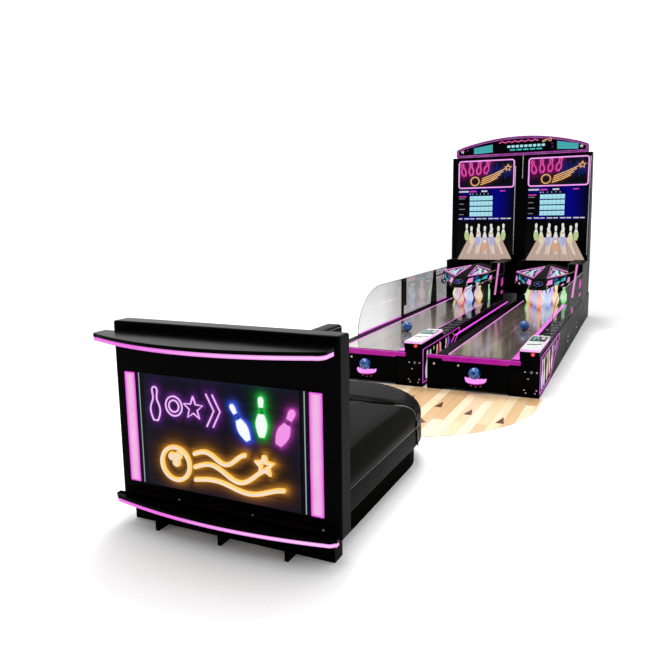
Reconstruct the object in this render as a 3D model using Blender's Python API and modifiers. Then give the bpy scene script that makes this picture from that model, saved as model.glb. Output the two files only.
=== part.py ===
"""Twin-lane arcade bowling game: two lane cabinets, approach floor and island bench."""
import bpy
import bmesh
from math import cos, pi, sin
from mathutils import Matrix, Vector

# ---- driving dimensions, in metres; +X right, +Y away from the players, +Z up ----
GAP = 0.0003                      # clearance between touching pieces
FRONT = -0.894                    # front plane of the two lane cabinets
BACK = 4.75                       # rear plane of the cabinets
LANE_X = {"left": -0.5755, "right": 0.5755}

# lane cabinet, x measured from the cabinet's own centre, y from its front plane
CABINET_HALF = 0.5475
BODY_LEFT = -0.4525
WALL = 0.018
FLOOR_Z = (0.062, 0.080)
LEFT_LEDGE_Z = 0.360
RIGHT_LEDGE_Z = 0.400
STRIP_RIGHT = 0.3575
DECK_X = (-0.3355, 0.2845)
DECK_THICK = 0.018
DECK_BACK = 4.98
FACE_Y = 0.0163
POST_RIGHT = -0.3905
POST_SIZE_Y = 0.150
POST_TOP = 0.300
BLOCK_LEFT = 0.2625
BLOCK_DEPTH = 0.200
BAY_X = (0.2855, 0.5245)
BAY_Z = (0.050, 0.280)
BAY_DEPTH = 0.190
BUMPER_Z = (0.3003, 0.355)
BUMPER_Y = (-0.012, 0.016)
BUMPER_RIGHT = 0.3695
PANEL_Y = (0.004, 0.016)
PANEL_BOTTOM = 0.030
PANEL_LAP = 0.020

# balls and ball cup
BALL_R = 0.060
CUP_X = -0.0535
CUP_R = 0.106
CUP_Z = (0.094, 0.155)
CUP_BALL_Y = -0.0605
CUP_BALL_Z = 0.209
CUP_SEAT_R = 0.0608
RETURN_PORT_R = 0.072
PLAY_BALL = {"left": (0.0005, 1.15), "right": (0.1275, 1.70)}

# control box and start button
CONTROL_X = (0.3575, 0.5395)
CONTROL_LENGTH = 0.800
CONTROL_Z = (RIGHT_LEDGE_Z + GAP, 0.472)
BUTTON_X = 0.4805
BUTTON_Z = 0.427
BUTTON_R = 0.018
BUTTON_OUT = 0.010
BUTTON_IN = 0.018
BUTTON_BORE_R = 0.0186
BUTTON_BORE_DEPTH = 0.030

# service door
DOOR_Y = (0.002, 0.0155)
DOOR_X = (0.2775, 0.5325)
DOOR_Z = (0.042, 0.288)
DOOR_HINGE_X = 0.5325
LOCK_R = 0.015

# pins
PIN_HEIGHT = 0.320
PIN_CENTRE = 0.0210
HEAD_PIN_Y = 3.600
PIN_SPACING = 0.174
PIN_ROW = 0.240
PIN_PROFILE = ((1.0, 0.0), (0.975, 0.052), (0.90, 0.083), (0.80, 0.071), (0.667, 0.060),
               (0.575, 0.083), (0.45, 0.135), (0.30, 0.159), (0.13, 0.125), (0.0, 0.068), (0.0, 0.0))

# pit hood and cheeks
HOOD_X = (BODY_LEFT + 0.0172, 0.4000)
HOOD_BACK = 5.0997
HOOD_SKIN = 0.014
SKIN_SETBACK = 1.3                # the raked fascia needs more setback than thickness
HOLLOW_BELOW = 0.5                # how far the hollow's corners run on below the hood's lip
NOSE_X = 0.0200
NOSE_HALF = 0.085
NOSE_Y = (3.340, 3.620)
NOSE_Z = (0.660, 0.800)
SIDE_Y = (4.100, 4.250)
SIDE_Z = (0.655, 0.835)
RIDGE_HALF = 0.035
RIDGE_Y = 4.470
HOOD_TOP = 0.910
LEFT_CHEEK_Y = 4.500
LEFT_CHEEK_THICK = 0.024
LEFT_CHEEK_TOP = 0.990
RIGHT_CHEEK_X = (0.3375, 0.5475)
RIGHT_CHEEK_Y = 4.200
RIGHT_CHEEK_TOP = 0.980

# display tower and marquee
TOWER_Y = 5.100
TOWER_LEFT = -0.5325
TOWER_RIGHT = {"left": 0.6180, "right": 0.5345}    # the left tower's board closes the gap between the two
TOWER_TOP = 2.672
TOWER_BACK = ((5.300, 2.672), (5.500, 1.820), (5.630, 0.910), (5.644, 0.4003))
DISPLAY_X = (-0.440, 0.510)
DISPLAY_Z = (0.955, 2.620)
DISPLAY_THICK = 0.040
MARQUEE_HALF = 1.050
MARQUEE_Y = (5.100, 5.200)
MARQUEE_END_Z = 2.810
MARQUEE_MID_Z = 2.980

# clear side guards: x centre, bottom z, top z, front y, y where the curved front ends
GUARD_THICK = 0.006
GUARD_BACK = {"left": 4.4997, "middle": 4.1997, "right": 4.1997}
GUARDS = {"left": (-1.0245, 0.3603, 0.880, 0.690, 1.450),
          "middle": (-0.0325, 0.4003, 0.815, 1.050, 1.950),
          "right": (1.1185, 0.4003, 0.860, 0.690, 1.450)}
BRACKET_THICK = 0.010

# approach floor
MAT_THICK = 0.004
MAT_HALF = 1.163
MAT_CENTRE_Y = -1.184
MAT_REACH = 1.268
MAT_FRONT_Y = -0.897

# island bench, y in the shared frame
WALL_X = -0.0235
WALL_HALF = 0.7035
WALL_Y = (-4.435, -4.311)
WALL_Z = (0.1397, 1.184)
PLINTH_HALF = 0.650
PLINTH_FRONT = -4.404
SHELF_HALF = 0.7035
TOP_SHELF = (1.100, 1.140, -4.619, -4.750)      # bottom z, top z, end y, centre y
LOWER_SHELF = (0.1403, 0.180, -4.520, -4.584)
SHELF_CORNER = 0.050
FIN_X = (-0.4200, 0.0030, 0.4160)
FIN_THICK = 0.020
FIN_FRONT = -4.494
SIGN_THICK = 0.006
SIGN_Z = (0.250, 0.900)
SIGN_PANELS = ((-0.5270, 0.4630), (-0.6600, -0.5830), (0.5130, 0.5900))
SPINE_HALF = 0.065
SPINE_TOP = 0.994
SEAT_ROUND_Y = -3.024
BASE_HALF = 0.562
BASE_TOP = 0.160
SEAT_HALF = 0.620
SEAT_Z = (0.1603, 0.460)

for old in list(bpy.data.objects):
    bpy.data.objects.remove(old, do_unlink=True)

parts = bpy.data.collections.new("twin_lane_bowling_game")
cutters = bpy.data.collections.new("cutters")
bpy.context.scene.collection.children.link(parts)
bpy.context.scene.collection.children.link(cutters)


def material(name, colour, roughness, metallic=0.0, alpha=1.0, glow=0.0):
    """A plain Principled material for one sub-part."""
    mat = bpy.data.materials.new(name)
    mat.use_nodes = True
    shader = mat.node_tree.nodes["Principled BSDF"]
    shader.inputs["Base Color"].default_value = (*colour, 1.0)
    shader.inputs["Roughness"].default_value = roughness
    shader.inputs["Metallic"].default_value = metallic
    shader.inputs["Alpha"].default_value = alpha
    shader.inputs["Emission Color"].default_value = (*colour, 1.0)
    shader.inputs["Emission Strength"].default_value = glow
    mat.diffuse_color = (*colour, alpha)
    return mat


def add(name, mesh, mat, at=(0, 0, 0)):
    """Link a mesh as a named sub-part with its material."""
    part = bpy.data.objects.new(name, mesh)
    part.location = at
    if mat and not mesh.materials:
        mesh.materials.append(mat)
    parts.objects.link(part)
    return part


def cutter(name, mesh):
    """Link a mesh as a hidden tool for a Boolean."""
    tool = bpy.data.objects.new(name, mesh)
    tool.hide_render = True
    tool.display_type = "WIRE"
    cutters.objects.link(tool)
    return tool


def mesh_from(name, build):
    """A mesh filled by a bmesh building function."""
    bm = bmesh.new()
    build(bm)
    bmesh.ops.recalc_face_normals(bm, faces=bm.faces)
    mesh = bpy.data.meshes.new(name)
    bm.to_mesh(mesh)
    bm.free()
    return mesh


def add_box(bm, x, y, z):
    """Add one box between pairs of limits."""
    size = Matrix.Diagonal((x[1] - x[0], y[1] - y[0], z[1] - z[0], 1.0))
    centre = Vector((x[0] + x[1], y[0] + y[1], z[0] + z[1])) / 2
    bmesh.ops.create_cube(bm, size=1.0, matrix=Matrix.Translation(centre) @ size)


def boxes_mesh(name, boxes):
    """A mesh of one or more separate boxes."""
    return mesh_from(name, lambda bm: [add_box(bm, *limits) for limits in boxes])


def cylinder_mesh(name, radius, depth, segments, matrix):
    """A capped cylinder."""
    return mesh_from(name, lambda bm: bmesh.ops.create_cone(
        bm, cap_ends=True, segments=segments, radius1=radius, radius2=radius, depth=depth, matrix=matrix))


PLANES = {"XY": Matrix.Identity(4),
          "XZ": Matrix.Rotation(pi / 2, 4, "X"),
          "YZ": Matrix(((0, 0, 1, 0), (1, 0, 0, 0), (0, 1, 0, 0), (0, 0, 0, 1)))}


def outline_mesh(name, points, limits, plane):
    """A flat outline in a plane, as thick as the limits across that plane, made a welded mesh."""
    curve = bpy.data.curves.new(name, "CURVE")
    curve.dimensions = "2D"
    curve.fill_mode = "BOTH"
    curve.extrude = abs(limits[1] - limits[0]) / 2
    spline = curve.splines.new("POLY")
    spline.points.add(len(points) - 1)
    for spot, (u, v) in zip(spline.points, points):
        spot.co = (u, v, 0.0, 1.0)
    spline.use_cyclic_u = True
    holder = bpy.data.objects.new(name, curve)
    parts.objects.link(holder)
    evaluated = holder.evaluated_get(bpy.context.evaluated_depsgraph_get())
    mesh = bpy.data.meshes.new_from_object(evaluated)
    bpy.data.objects.remove(holder, do_unlink=True)
    middle = (limits[0] + limits[1]) / 2
    across = {"XY": (0, 0, middle), "XZ": (0, middle, 0), "YZ": (middle, 0, 0)}[plane]
    bm = bmesh.new()
    bm.from_mesh(mesh)
    bmesh.ops.remove_doubles(bm, verts=bm.verts, dist=0.00005)
    bmesh.ops.transform(bm, matrix=Matrix.Translation(across) @ PLANES[plane], verts=bm.verts)
    bmesh.ops.recalc_face_normals(bm, faces=bm.faces)
    bm.to_mesh(mesh)
    bm.free()
    mesh.materials.clear()
    return mesh


def hull_mesh(name, corners):
    """The convex faceted solid through its corner points."""
    def build(bm):
        verts = [bm.verts.new(corner) for corner in corners]
        made = bmesh.ops.convex_hull(bm, input=verts)
        bmesh.ops.delete(bm, geom=made["geom_interior"], context="VERTS")
        bmesh.ops.dissolve_limit(bm, angle_limit=0.01, verts=bm.verts, edges=bm.edges)
    return mesh_from(name, build)


def boolean(part, tool, operation):
    """Cut or join a part with a tool."""
    step = part.modifiers.new(operation.lower(), "BOOLEAN")
    step.operation = operation
    step.object = tool
    step.solver = "EXACT"


def bevel(part, width, segments=1):
    """Round the sharp edges of a part."""
    step = part.modifiers.new("bevel", "BEVEL")
    step.width = width
    step.segments = segments
    step.limit_method = "ANGLE"
    step.angle_limit = 0.7
    step.harden_normals = False


def placed(points, lane_x):
    """Outline points of a lane cabinet, moved to its place across the row."""
    return [(lane_x + u, v) for u, v in points]


def joined_boxes(name, boxes, mat):
    """One solid made of overlapping boxes."""
    part = add(name, boxes_mesh(name, boxes[:1]), mat)
    for number, limits in enumerate(boxes[1:]):
        boolean(part, cutter(f"{name}_{number}", boxes_mesh("piece", [limits])), "UNION")
    return part


def span(limits, offset):
    """A pair of limits moved by an offset."""
    return (limits[0] + offset, limits[1] + offset)


# ---- materials ----
BLACK = (0.012, 0.012, 0.014)
MAGENTA = (0.85, 0.02, 0.62)
PINK = (1.0, 0.30, 0.85)
WALNUT = (0.20, 0.16, 0.13)
MAPLE = (0.78, 0.62, 0.42)
BLUE = (0.01, 0.05, 0.35)
PIN_COLOURS = ((1.0, 0.35, 0.12), (0.85, 0.9, 0.95), (0.25, 0.5, 1.0), (0.45, 0.75, 1.0),
               (1.0, 0.9, 0.35), (1.0, 0.35, 0.6), (0.75, 1.0, 0.3), (1.0, 0.85, 0.3),
               (1.0, 0.4, 0.7), (0.45, 1.0, 0.35))


# ---- lane cabinet pieces ----
def cabinet_body(side, cx):
    """Long tray of side walls, floor and ledges, a lit strip beside the deck, a post and a block."""
    right = CABINET_HALF
    left_in = BODY_LEFT + WALL
    strip = DECK_X[1] + GAP
    tray = [(BODY_LEFT, 0.0), (left_in, 0.0), (left_in, FLOOR_Z[0]), (right - WALL, FLOOR_Z[0]),
            (right - WALL, 0.0), (right, 0.0), (right, RIGHT_LEDGE_Z),
            (STRIP_RIGHT, RIGHT_LEDGE_Z), (STRIP_RIGHT, LEFT_LEDGE_Z), (strip, LEFT_LEDGE_Z),
            (strip, LEFT_LEDGE_Z - WALL), (STRIP_RIGHT + WALL, LEFT_LEDGE_Z - WALL),
            (STRIP_RIGHT + WALL, RIGHT_LEDGE_Z - WALL), (right - WALL, RIGHT_LEDGE_Z - WALL),
            (right - WALL, FLOOR_Z[1]), (left_in, FLOOR_Z[1]), (left_in, LEFT_LEDGE_Z - WALL),
            (DECK_X[0] - GAP, LEFT_LEDGE_Z - WALL), (DECK_X[0] - GAP, LEFT_LEDGE_Z),
            (BODY_LEFT, LEFT_LEDGE_Z)]
    mesh = outline_mesh("cabinet_body_" + side, placed(tray, cx), (FRONT + FACE_Y + 0.0002, BACK), "XZ")
    body = add("cabinet_body_" + side, mesh, material("cabinet_black_" + side, BLACK, 0.35))
    post = ((cx - CABINET_HALF, cx + POST_RIGHT), (FRONT, FRONT + POST_SIZE_Y), (0.0, POST_TOP))
    deep = (FRONT + FACE_Y, FRONT + BLOCK_DEPTH)
    block = ((cx + BLOCK_LEFT, cx + CABINET_HALF), deep, (0.0, LEFT_LEDGE_Z - DECK_THICK - GAP))
    block_strip = ((cx + strip, cx + CABINET_HALF), deep, (0.2, LEFT_LEDGE_Z))
    block_top = ((cx + STRIP_RIGHT, cx + CABINET_HALF), deep, (0.2, RIGHT_LEDGE_Z))
    bay = (span(BAY_X, cx), (FRONT - 0.05, FRONT + BAY_DEPTH), BAY_Z)
    rear = (span((BODY_LEFT, CABINET_HALF), cx), (BACK - WALL, BACK), (0.0, LEFT_LEDGE_Z))
    boolean(body, cutter("rear_" + side, boxes_mesh("rear", [rear])), "UNION")
    boolean(body, cutter("post_" + side, boxes_mesh("post", [post])), "UNION")
    boolean(body, cutter("block_" + side, boxes_mesh("block", [block])), "UNION")
    boolean(body, cutter("block_strip_" + side, boxes_mesh("block_strip", [block_strip])), "UNION")
    boolean(body, cutter("block_top_" + side, boxes_mesh("block_top", [block_top])), "UNION")
    boolean(body, cutter("bay_" + side, boxes_mesh("bay", [bay])), "DIFFERENCE")


def lane_deck(side, cx):
    """Glossy printed lane board between the two ledges."""
    limits = (span(DECK_X, cx), (FRONT + 0.0165, FRONT + DECK_BACK), (LEFT_LEDGE_Z - DECK_THICK, LEFT_LEDGE_Z))
    add("lane_deck_" + side, boxes_mesh("lane_deck", [limits]), material("lane_wood_" + side, WALNUT, 0.12))


def front_panel(side, cx):
    """Black fascia with a round ball port, and the magenta bumper strip above it."""
    plate = ((cx + POST_RIGHT + GAP, cx + BLOCK_LEFT - GAP), span(PANEL_Y, FRONT),
             (PANEL_BOTTOM, POST_TOP + PANEL_LAP))
    bumper = ((cx - CABINET_HALF, cx + BUMPER_RIGHT), span(BUMPER_Y, FRONT), BUMPER_Z)
    panel = joined_boxes("front_panel_" + side, [plate, bumper],
                         material("front_magenta_" + side, MAGENTA, 0.4, glow=0.3))
    port_axis = Matrix.Translation((cx + CUP_X, FRONT, CUP_BALL_Z)) @ Matrix.Rotation(pi / 2, 4, "X")
    port = cutter("port_" + side, cylinder_mesh("port", RETURN_PORT_R, 0.2, 24, port_axis))
    boolean(panel, port, "DIFFERENCE")


def ball_cup(side, cx):
    """Half-round glowing tray with a ball seat, fixed to the fascia."""
    middle = (CUP_Z[0] + CUP_Z[1]) / 2
    here = Matrix.Translation((cx + CUP_X, FRONT, middle))
    cup = add("ball_cup_" + side, cylinder_mesh("ball_cup", CUP_R, CUP_Z[1] - CUP_Z[0], 24, here),
              material("cup_pink_" + side, PINK, 0.3, glow=2.0))
    rear = ((cx - 0.3, cx + 0.3), (FRONT + PANEL_Y[0] - GAP, FRONT + 0.3), (0.0, 0.3))
    boolean(cup, cutter("cup_rear_" + side, boxes_mesh("cup_rear", [rear])), "DIFFERENCE")
    seat_at = Matrix.Translation((cx + CUP_X, FRONT + CUP_BALL_Y, CUP_BALL_Z))
    seat = mesh_from("seat", lambda bm: bmesh.ops.create_uvsphere(
        bm, u_segments=16, v_segments=12, radius=CUP_SEAT_R + 0.0006, matrix=seat_at))
    boolean(cup, cutter("cup_seat_" + side, seat), "DIFFERENCE")


def ball(name, at):
    """Dark blue ball, about five inches across."""
    mesh = mesh_from(name, lambda bm: bmesh.ops.create_icosphere(bm, subdivisions=3, radius=BALL_R))
    add(name, mesh, material(name + "_blue", BLUE, 0.08), at)


def control_box(side, cx):
    """Slim housing on the right ledge that carries the player controls."""
    limits = (span(CONTROL_X, cx), (FRONT, FRONT + CONTROL_LENGTH), CONTROL_Z)
    box = add("control_box_" + side, boxes_mesh("control_box", [limits]),
              material("control_black_" + side, (0.6, 0.6, 0.6), 0.3))
    bevel(box, 0.004)
    bore_axis = Matrix.Translation((cx + BUTTON_X, FRONT + BUTTON_BORE_DEPTH / 2 - 0.01, BUTTON_Z))
    bore = cylinder_mesh("bore", BUTTON_BORE_R, BUTTON_BORE_DEPTH + 0.02, 24,
                         bore_axis @ Matrix.Rotation(pi / 2, 4, "X"))
    boolean(box, cutter("button_bore_" + side, bore), "DIFFERENCE")


def start_button(side, cx):
    """Round red push button that slides into the control box."""
    length = BUTTON_OUT + BUTTON_IN
    turn = Matrix.Translation((0, (BUTTON_IN - BUTTON_OUT) / 2, 0)) @ Matrix.Rotation(pi / 2, 4, "X")
    button = add("start_button_" + side, cylinder_mesh("start_button", BUTTON_R, length, 20, turn),
                 material("button_red_" + side, (0.75, 0.02, 0.02), 0.3, glow=0.5),
                 (cx + BUTTON_X, FRONT, BUTTON_Z))
    bevel(button, 0.002)


def service_door(side, cx):
    """Hinged plate over the service bay, with a round lock; its origin is on the hinge line."""
    hinge = Vector((cx + DOOR_HINGE_X, FRONT + DOOR_Y[0], 0.0))
    plate = ((DOOR_X[0] - DOOR_HINGE_X, 0.0), (0.0, DOOR_Y[1] - DOOR_Y[0]), DOOR_Z)
    door = add("service_door_" + side, boxes_mesh("service_door", [plate]),
               material("door_black_" + side, BLACK, 0.4), hinge)
    lock_at = hinge + Vector((0.4725 - DOOR_HINGE_X, -0.002, 0.254))
    lock = cylinder_mesh("lock", LOCK_R, 0.012, 20, Matrix.Translation(lock_at) @ Matrix.Rotation(pi / 2, 4, "X"))
    boolean(door, cutter("lock_" + side, lock), "UNION")


def pin_mesh():
    """Half outline of a ten-pin, to be turned by a Screw modifier."""
    mesh = bpy.data.meshes.new("pin")
    points = [(radius * PIN_HEIGHT, 0.0, height * PIN_HEIGHT) for height, radius in PIN_PROFILE]
    mesh.from_pydata(points, [(i, i + 1) for i in range(len(points) - 1)], [])
    return mesh


def pins(side, cx):
    """Ten pins in four rows, each hanging on its own lift and standing on the deck."""
    number = 0
    for row in range(4):
        for place in range(row + 1):
            number += 1
            x = cx + PIN_CENTRE + (place - row / 2) * PIN_SPACING
            y = FRONT + HEAD_PIN_Y + row * PIN_ROW
            tone = material(f"pin_{side}_{number:02d}", PIN_COLOURS[number - 1], 0.25, glow=1.0)
            pin = add(f"pin_{side}_{number:02d}", pin_mesh(), tone, (x, y, LEFT_LEDGE_Z + GAP))
            turn = pin.modifiers.new("turn", "SCREW")
            turn.steps = 12
            turn.render_steps = 12
            turn.use_merge_vertices = True
            turn.merge_threshold = 0.0001
            turn.use_normal_calculate = True


def hood_corners(cx, inset):
    """Corner points of the faceted hood; the inset makes the matching hollow, open below."""
    left = cx + HOOD_X[0] + inset
    right = cx + HOOD_X[1] - inset
    nose = (cx + NOSE_X - NOSE_HALF, cx + NOSE_X + NOSE_HALF)
    ridge = (cx + NOSE_X - RIDGE_HALF, cx + NOSE_X + RIDGE_HALF)
    back = FRONT + HOOD_BACK - inset
    below = HOLLOW_BELOW if inset else 0.0
    points = []
    for x, ys, zs in ((left, SIDE_Y, SIDE_Z), (nose[0], NOSE_Y, NOSE_Z),
                      (nose[1], NOSE_Y, NOSE_Z), (right, SIDE_Y, SIDE_Z)):
        setback = FRONT + inset * SKIN_SETBACK
        low = Vector((x, ys[0] + setback, zs[0]))
        high = Vector((x, ys[1] + setback, zs[1] - inset))
        points += [low - (high - low) * below, high]
    foot = SIDE_Z[0] - below * (SIDE_Z[1] - SIDE_Z[0])
    points += [(left, back, foot), (right, back, foot),
               (left, back, SIDE_Z[1] - inset), (right, back, SIDE_Z[1] - inset),
               (ridge[0], back, HOOD_TOP - inset), (ridge[1], back, HOOD_TOP - inset),
               (ridge[0], FRONT + RIDGE_Y + inset, HOOD_TOP - inset),
               (ridge[1], FRONT + RIDGE_Y + inset, HOOD_TOP - inset)]
    return points


def pit_hood(side, cx):
    """Faceted hood over the pins, hollow and open below, between a thin cheek and a box cheek."""
    hood = add("pit_hood_" + side, hull_mesh("pit_hood", hood_corners(cx, 0.0)),
               material("hood_black_" + side, BLACK, 0.3))
    hollow = cutter("hood_hollow_" + side, hull_mesh("hood_hollow", hood_corners(cx, HOOD_SKIN)))
    boolean(hood, hollow, "DIFFERENCE")
    outer = cx + BODY_LEFT
    left_cheek = ((outer, outer + LEFT_CHEEK_THICK), (FRONT + LEFT_CHEEK_Y, FRONT + HOOD_BACK),
                  (LEFT_LEDGE_Z + GAP, LEFT_CHEEK_TOP))
    right_cheek = (span(RIGHT_CHEEK_X, cx), (FRONT + RIGHT_CHEEK_Y, FRONT + HOOD_BACK),
                   (RIGHT_LEDGE_Z + GAP, RIGHT_CHEEK_TOP))
    cheeks = cutter("cheeks_" + side, boxes_mesh("cheeks", [left_cheek, right_cheek]))
    boolean(hood, cheeks, "UNION")


def tower_casing(side, cx):
    """Display tower shell with a raked back and a window for the screen."""
    outline = [(TOWER_Y, RIGHT_LEDGE_Z + GAP), (TOWER_Y, TOWER_TOP)] + list(TOWER_BACK)
    outer = [(FRONT + y, z) for y, z in outline]
    inset = [(TOWER_Y + WALL, RIGHT_LEDGE_Z + WALL), (TOWER_Y + WALL, TOWER_TOP - WALL)]
    inset += [(y - WALL, z - WALL if z > 2.0 else z + (WALL if z < 0.5 else 0.0)) for y, z in TOWER_BACK]
    inner = [(FRONT + y, z) for y, z in inset]
    across = span((TOWER_LEFT, TOWER_RIGHT[side]), cx)
    tower = add("tower_casing_" + side, outline_mesh("tower_casing", outer, across, "YZ"),
                material("tower_black_" + side, BLACK, 0.35))
    hollow_x = (across[0] + WALL, across[1] - WALL)
    hollow = cutter("tower_hollow_" + side, outline_mesh("tower_hollow", inner, hollow_x, "YZ"))
    boolean(tower, hollow, "DIFFERENCE")
    window = ((cx + DISPLAY_X[0] - GAP, cx + DISPLAY_X[1] + GAP), (FRONT + TOWER_Y - 0.1, FRONT + TOWER_Y + 0.05),
              (DISPLAY_Z[0] - GAP, DISPLAY_Z[1] + GAP))
    boolean(tower, cutter("window_" + side, boxes_mesh("window", [window])), "DIFFERENCE")


def display_screen(side, cx):
    """Tall portrait screen in the tower's window."""
    limits = (span(DISPLAY_X, cx), (FRONT + TOWER_Y, FRONT + TOWER_Y + DISPLAY_THICK), DISPLAY_Z)
    add("display_screen_" + side, boxes_mesh("display_screen", [limits]),
        material("screen_blue_" + side, (0.02, 0.02, 0.25), 0.1, glow=1.0))


# ---- shared pieces ----
def marquee():
    """Arched header across both towers."""
    steps = 16
    foot = TOWER_TOP + GAP
    points = [(-MARQUEE_HALF, foot)]
    for i in range(steps + 1):
        x = -MARQUEE_HALF + 2 * MARQUEE_HALF * i / steps
        rise = (MARQUEE_MID_Z - MARQUEE_END_Z) * (1 - (x / MARQUEE_HALF) ** 2)
        points.append((x, MARQUEE_END_Z + rise))
    points.append((MARQUEE_HALF, foot))
    mesh = outline_mesh("marquee", points, span(MARQUEE_Y, FRONT), "XZ")
    add("marquee", mesh, material("marquee_purple", (0.25, 0.05, 0.3), 0.3, glow=0.4))


def guard_panel(name, layout, back):
    """Clear upright guard with a curved front, standing on a ledge."""
    x, low, high, front, arc_end = layout
    steps = 12
    points = [(FRONT + back, low)]
    points.append((FRONT + back, high))
    for i in range(steps + 1):
        turn = pi / 2 * (1 - i / steps)
        points.append((FRONT + arc_end - (arc_end - front) * cos(turn), low + (high - low) * sin(turn)))
    mesh = outline_mesh("guard", points, (x - GUARD_THICK / 2, x + GUARD_THICK / 2), "YZ")
    add("side_guard_" + name, mesh, material("clear_guard_" + name, (0.9, 0.92, 0.95), 0.05, alpha=0.25))


def guard_posts():
    """Black flat posts that brace the left and middle guards on their lane side."""
    x, low, high, _, _ = GUARDS["left"]
    across = (x + GUARD_THICK / 2 + GAP, x + GUARD_THICK / 2 + GAP + BRACKET_THICK)
    shapes = [((2.205, 2.395), (0.500, high - 0.002)), ((2.205, 2.290), (low, 0.510)),
              ((2.250, 3.800), (low, low + 0.014)), ((3.780, GUARD_BACK["left"]), (0.772, 0.790))]
    posts = joined_boxes("guard_posts_left", [(across, span(y, FRONT), z) for y, z in shapes],
                         material("post_black_left", BLACK, 0.4, 0.5))
    wedge = [(FRONT + y, z) for y, z in ((3.570, low), (3.880, low), (3.830, high - 0.002), (3.720, high - 0.002))]
    boolean(posts, cutter("wedge_post", outline_mesh("wedge_post", wedge, across, "YZ")), "UNION")
    x, low, high, _, _ = GUARDS["middle"]
    across = (x - GUARD_THICK / 2 - GAP - BRACKET_THICK, x - GUARD_THICK / 2 - GAP)
    shapes = [((2.820, 3.110), (0.480, high - 0.002)), ((2.860, 3.070), (low, 0.490))]
    joined_boxes("guard_post_middle", [(across, span(y, FRONT), z) for y, z in shapes],
                 material("post_black_middle", BLACK, 0.4, 0.5))


def approach_floor():
    """Thin D-shaped maple-print floor in front of the lanes."""
    steps = 32
    points = [(MAT_HALF, MAT_FRONT_Y)]
    for i in range(steps + 1):
        turn = pi * i / steps
        points.append((MAT_HALF * cos(turn), MAT_CENTRE_Y - MAT_REACH * sin(turn)))
    points.append((-MAT_HALF, MAT_FRONT_Y))
    mesh = outline_mesh("approach_floor", points, (0.0, MAT_THICK), "XY")
    add("approach_floor", mesh, material("maple_floor", MAPLE, 0.35))


# ---- island bench ----
def sign_wall():
    """Upright wall that carries the lit sign, on a set-back plinth with three foot fins."""
    limits = (span((-WALL_HALF, WALL_HALF), WALL_X), WALL_Y, WALL_Z)
    wall = add("sign_wall", boxes_mesh("sign_wall", [limits]), material("wall_black", BLACK, 0.4))
    bevel(wall, 0.012, 2)
    plinth = ((WALL_X - PLINTH_HALF, WALL_X + PLINTH_HALF), (PLINTH_FRONT, WALL_Y[1]), (0.0, WALL_Z[0] + 0.02))
    boolean(wall, cutter("plinth", boxes_mesh("plinth", [plinth])), "UNION")
    for number, x in enumerate(FIN_X):
        across = span((-FIN_THICK / 2, FIN_THICK / 2), WALL_X + x)
        fin = (across, (FIN_FRONT, PLINTH_FRONT + 0.01), (0.0, LOWER_SHELF[0] - GAP))
        boolean(wall, cutter(f"fin_{number}", boxes_mesh("fin", [fin])), "UNION")


def shelf(name, layout):
    """Drinks shelf with a bowed front and rounded corners."""
    low, high, end_y, middle_y = layout
    back = WALL_Y[0] - GAP
    bow_steps = 14
    turn_steps = 4
    reach = SHELF_HALF - SHELF_CORNER
    points = [(WALL_X + SHELF_HALF, back)]
    for i in range(turn_steps + 1):
        turn = pi / 2 * i / turn_steps
        points.append((WALL_X + reach + SHELF_CORNER * cos(turn), end_y + SHELF_CORNER - SHELF_CORNER * sin(turn)))
    for i in range(1, bow_steps):
        u = 1 - 2 * i / bow_steps
        points.append((WALL_X + reach * u, end_y + (middle_y - end_y) * (1 - u * u)))
    for i in range(turn_steps + 1):
        turn = pi / 2 * (1 + i / turn_steps)
        points.append((WALL_X - reach + SHELF_CORNER * cos(turn), end_y + SHELF_CORNER - SHELF_CORNER * sin(turn)))
    points.append((WALL_X - SHELF_HALF, back))
    add(name, outline_mesh(name, points, (low, high), "XY"), material(name + "_black", BLACK, 0.35))


def sign_panel():
    """Back-lit art panel and a light bar on each side, on one backing sheet."""
    rear = WALL_Y[0] - GAP
    sheet = (span((SIGN_PANELS[1][0], SIGN_PANELS[2][1]), 0), (rear - SIGN_THICK / 2, rear), SIGN_Z)
    raised = [(x, (rear - SIGN_THICK, rear - SIGN_THICK / 4), SIGN_Z) for x in SIGN_PANELS]
    joined_boxes("sign_panel", [sheet] + raised, material("sign_art", (0.25, 0.05, 0.3), 0.3, glow=0.6))


def spine_back():
    """Central backrest between the two sides of the seat."""
    limits = ((-SPINE_HALF, SPINE_HALF), (WALL_Y[1] + GAP, SEAT_ROUND_Y - GAP), (SEAT_Z[0], SPINE_TOP))
    spine = add("spine_back", boxes_mesh("spine_back", [limits]), material("spine_black", BLACK, 0.45))
    bevel(spine, 0.012, 2)


def rounded_end(half, start_y, steps):
    """Half-circle outline that closes the bench towards the lanes."""
    points = [(half * cos(pi * i / steps), SEAT_ROUND_Y + half * sin(pi * i / steps)) for i in range(steps + 1)]
    if start_y < SEAT_ROUND_Y:
        points += [(-half, start_y), (half, start_y)]
    return points


def seat_base():
    """Plinth under the seat, straight-sided with a round end."""
    points = rounded_end(BASE_HALF, WALL_Y[1] + GAP, 24)
    add("seat_base", outline_mesh("seat_base", points, (0.0, BASE_TOP), "XY"), material("base_black", BLACK, 0.5))


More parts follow.
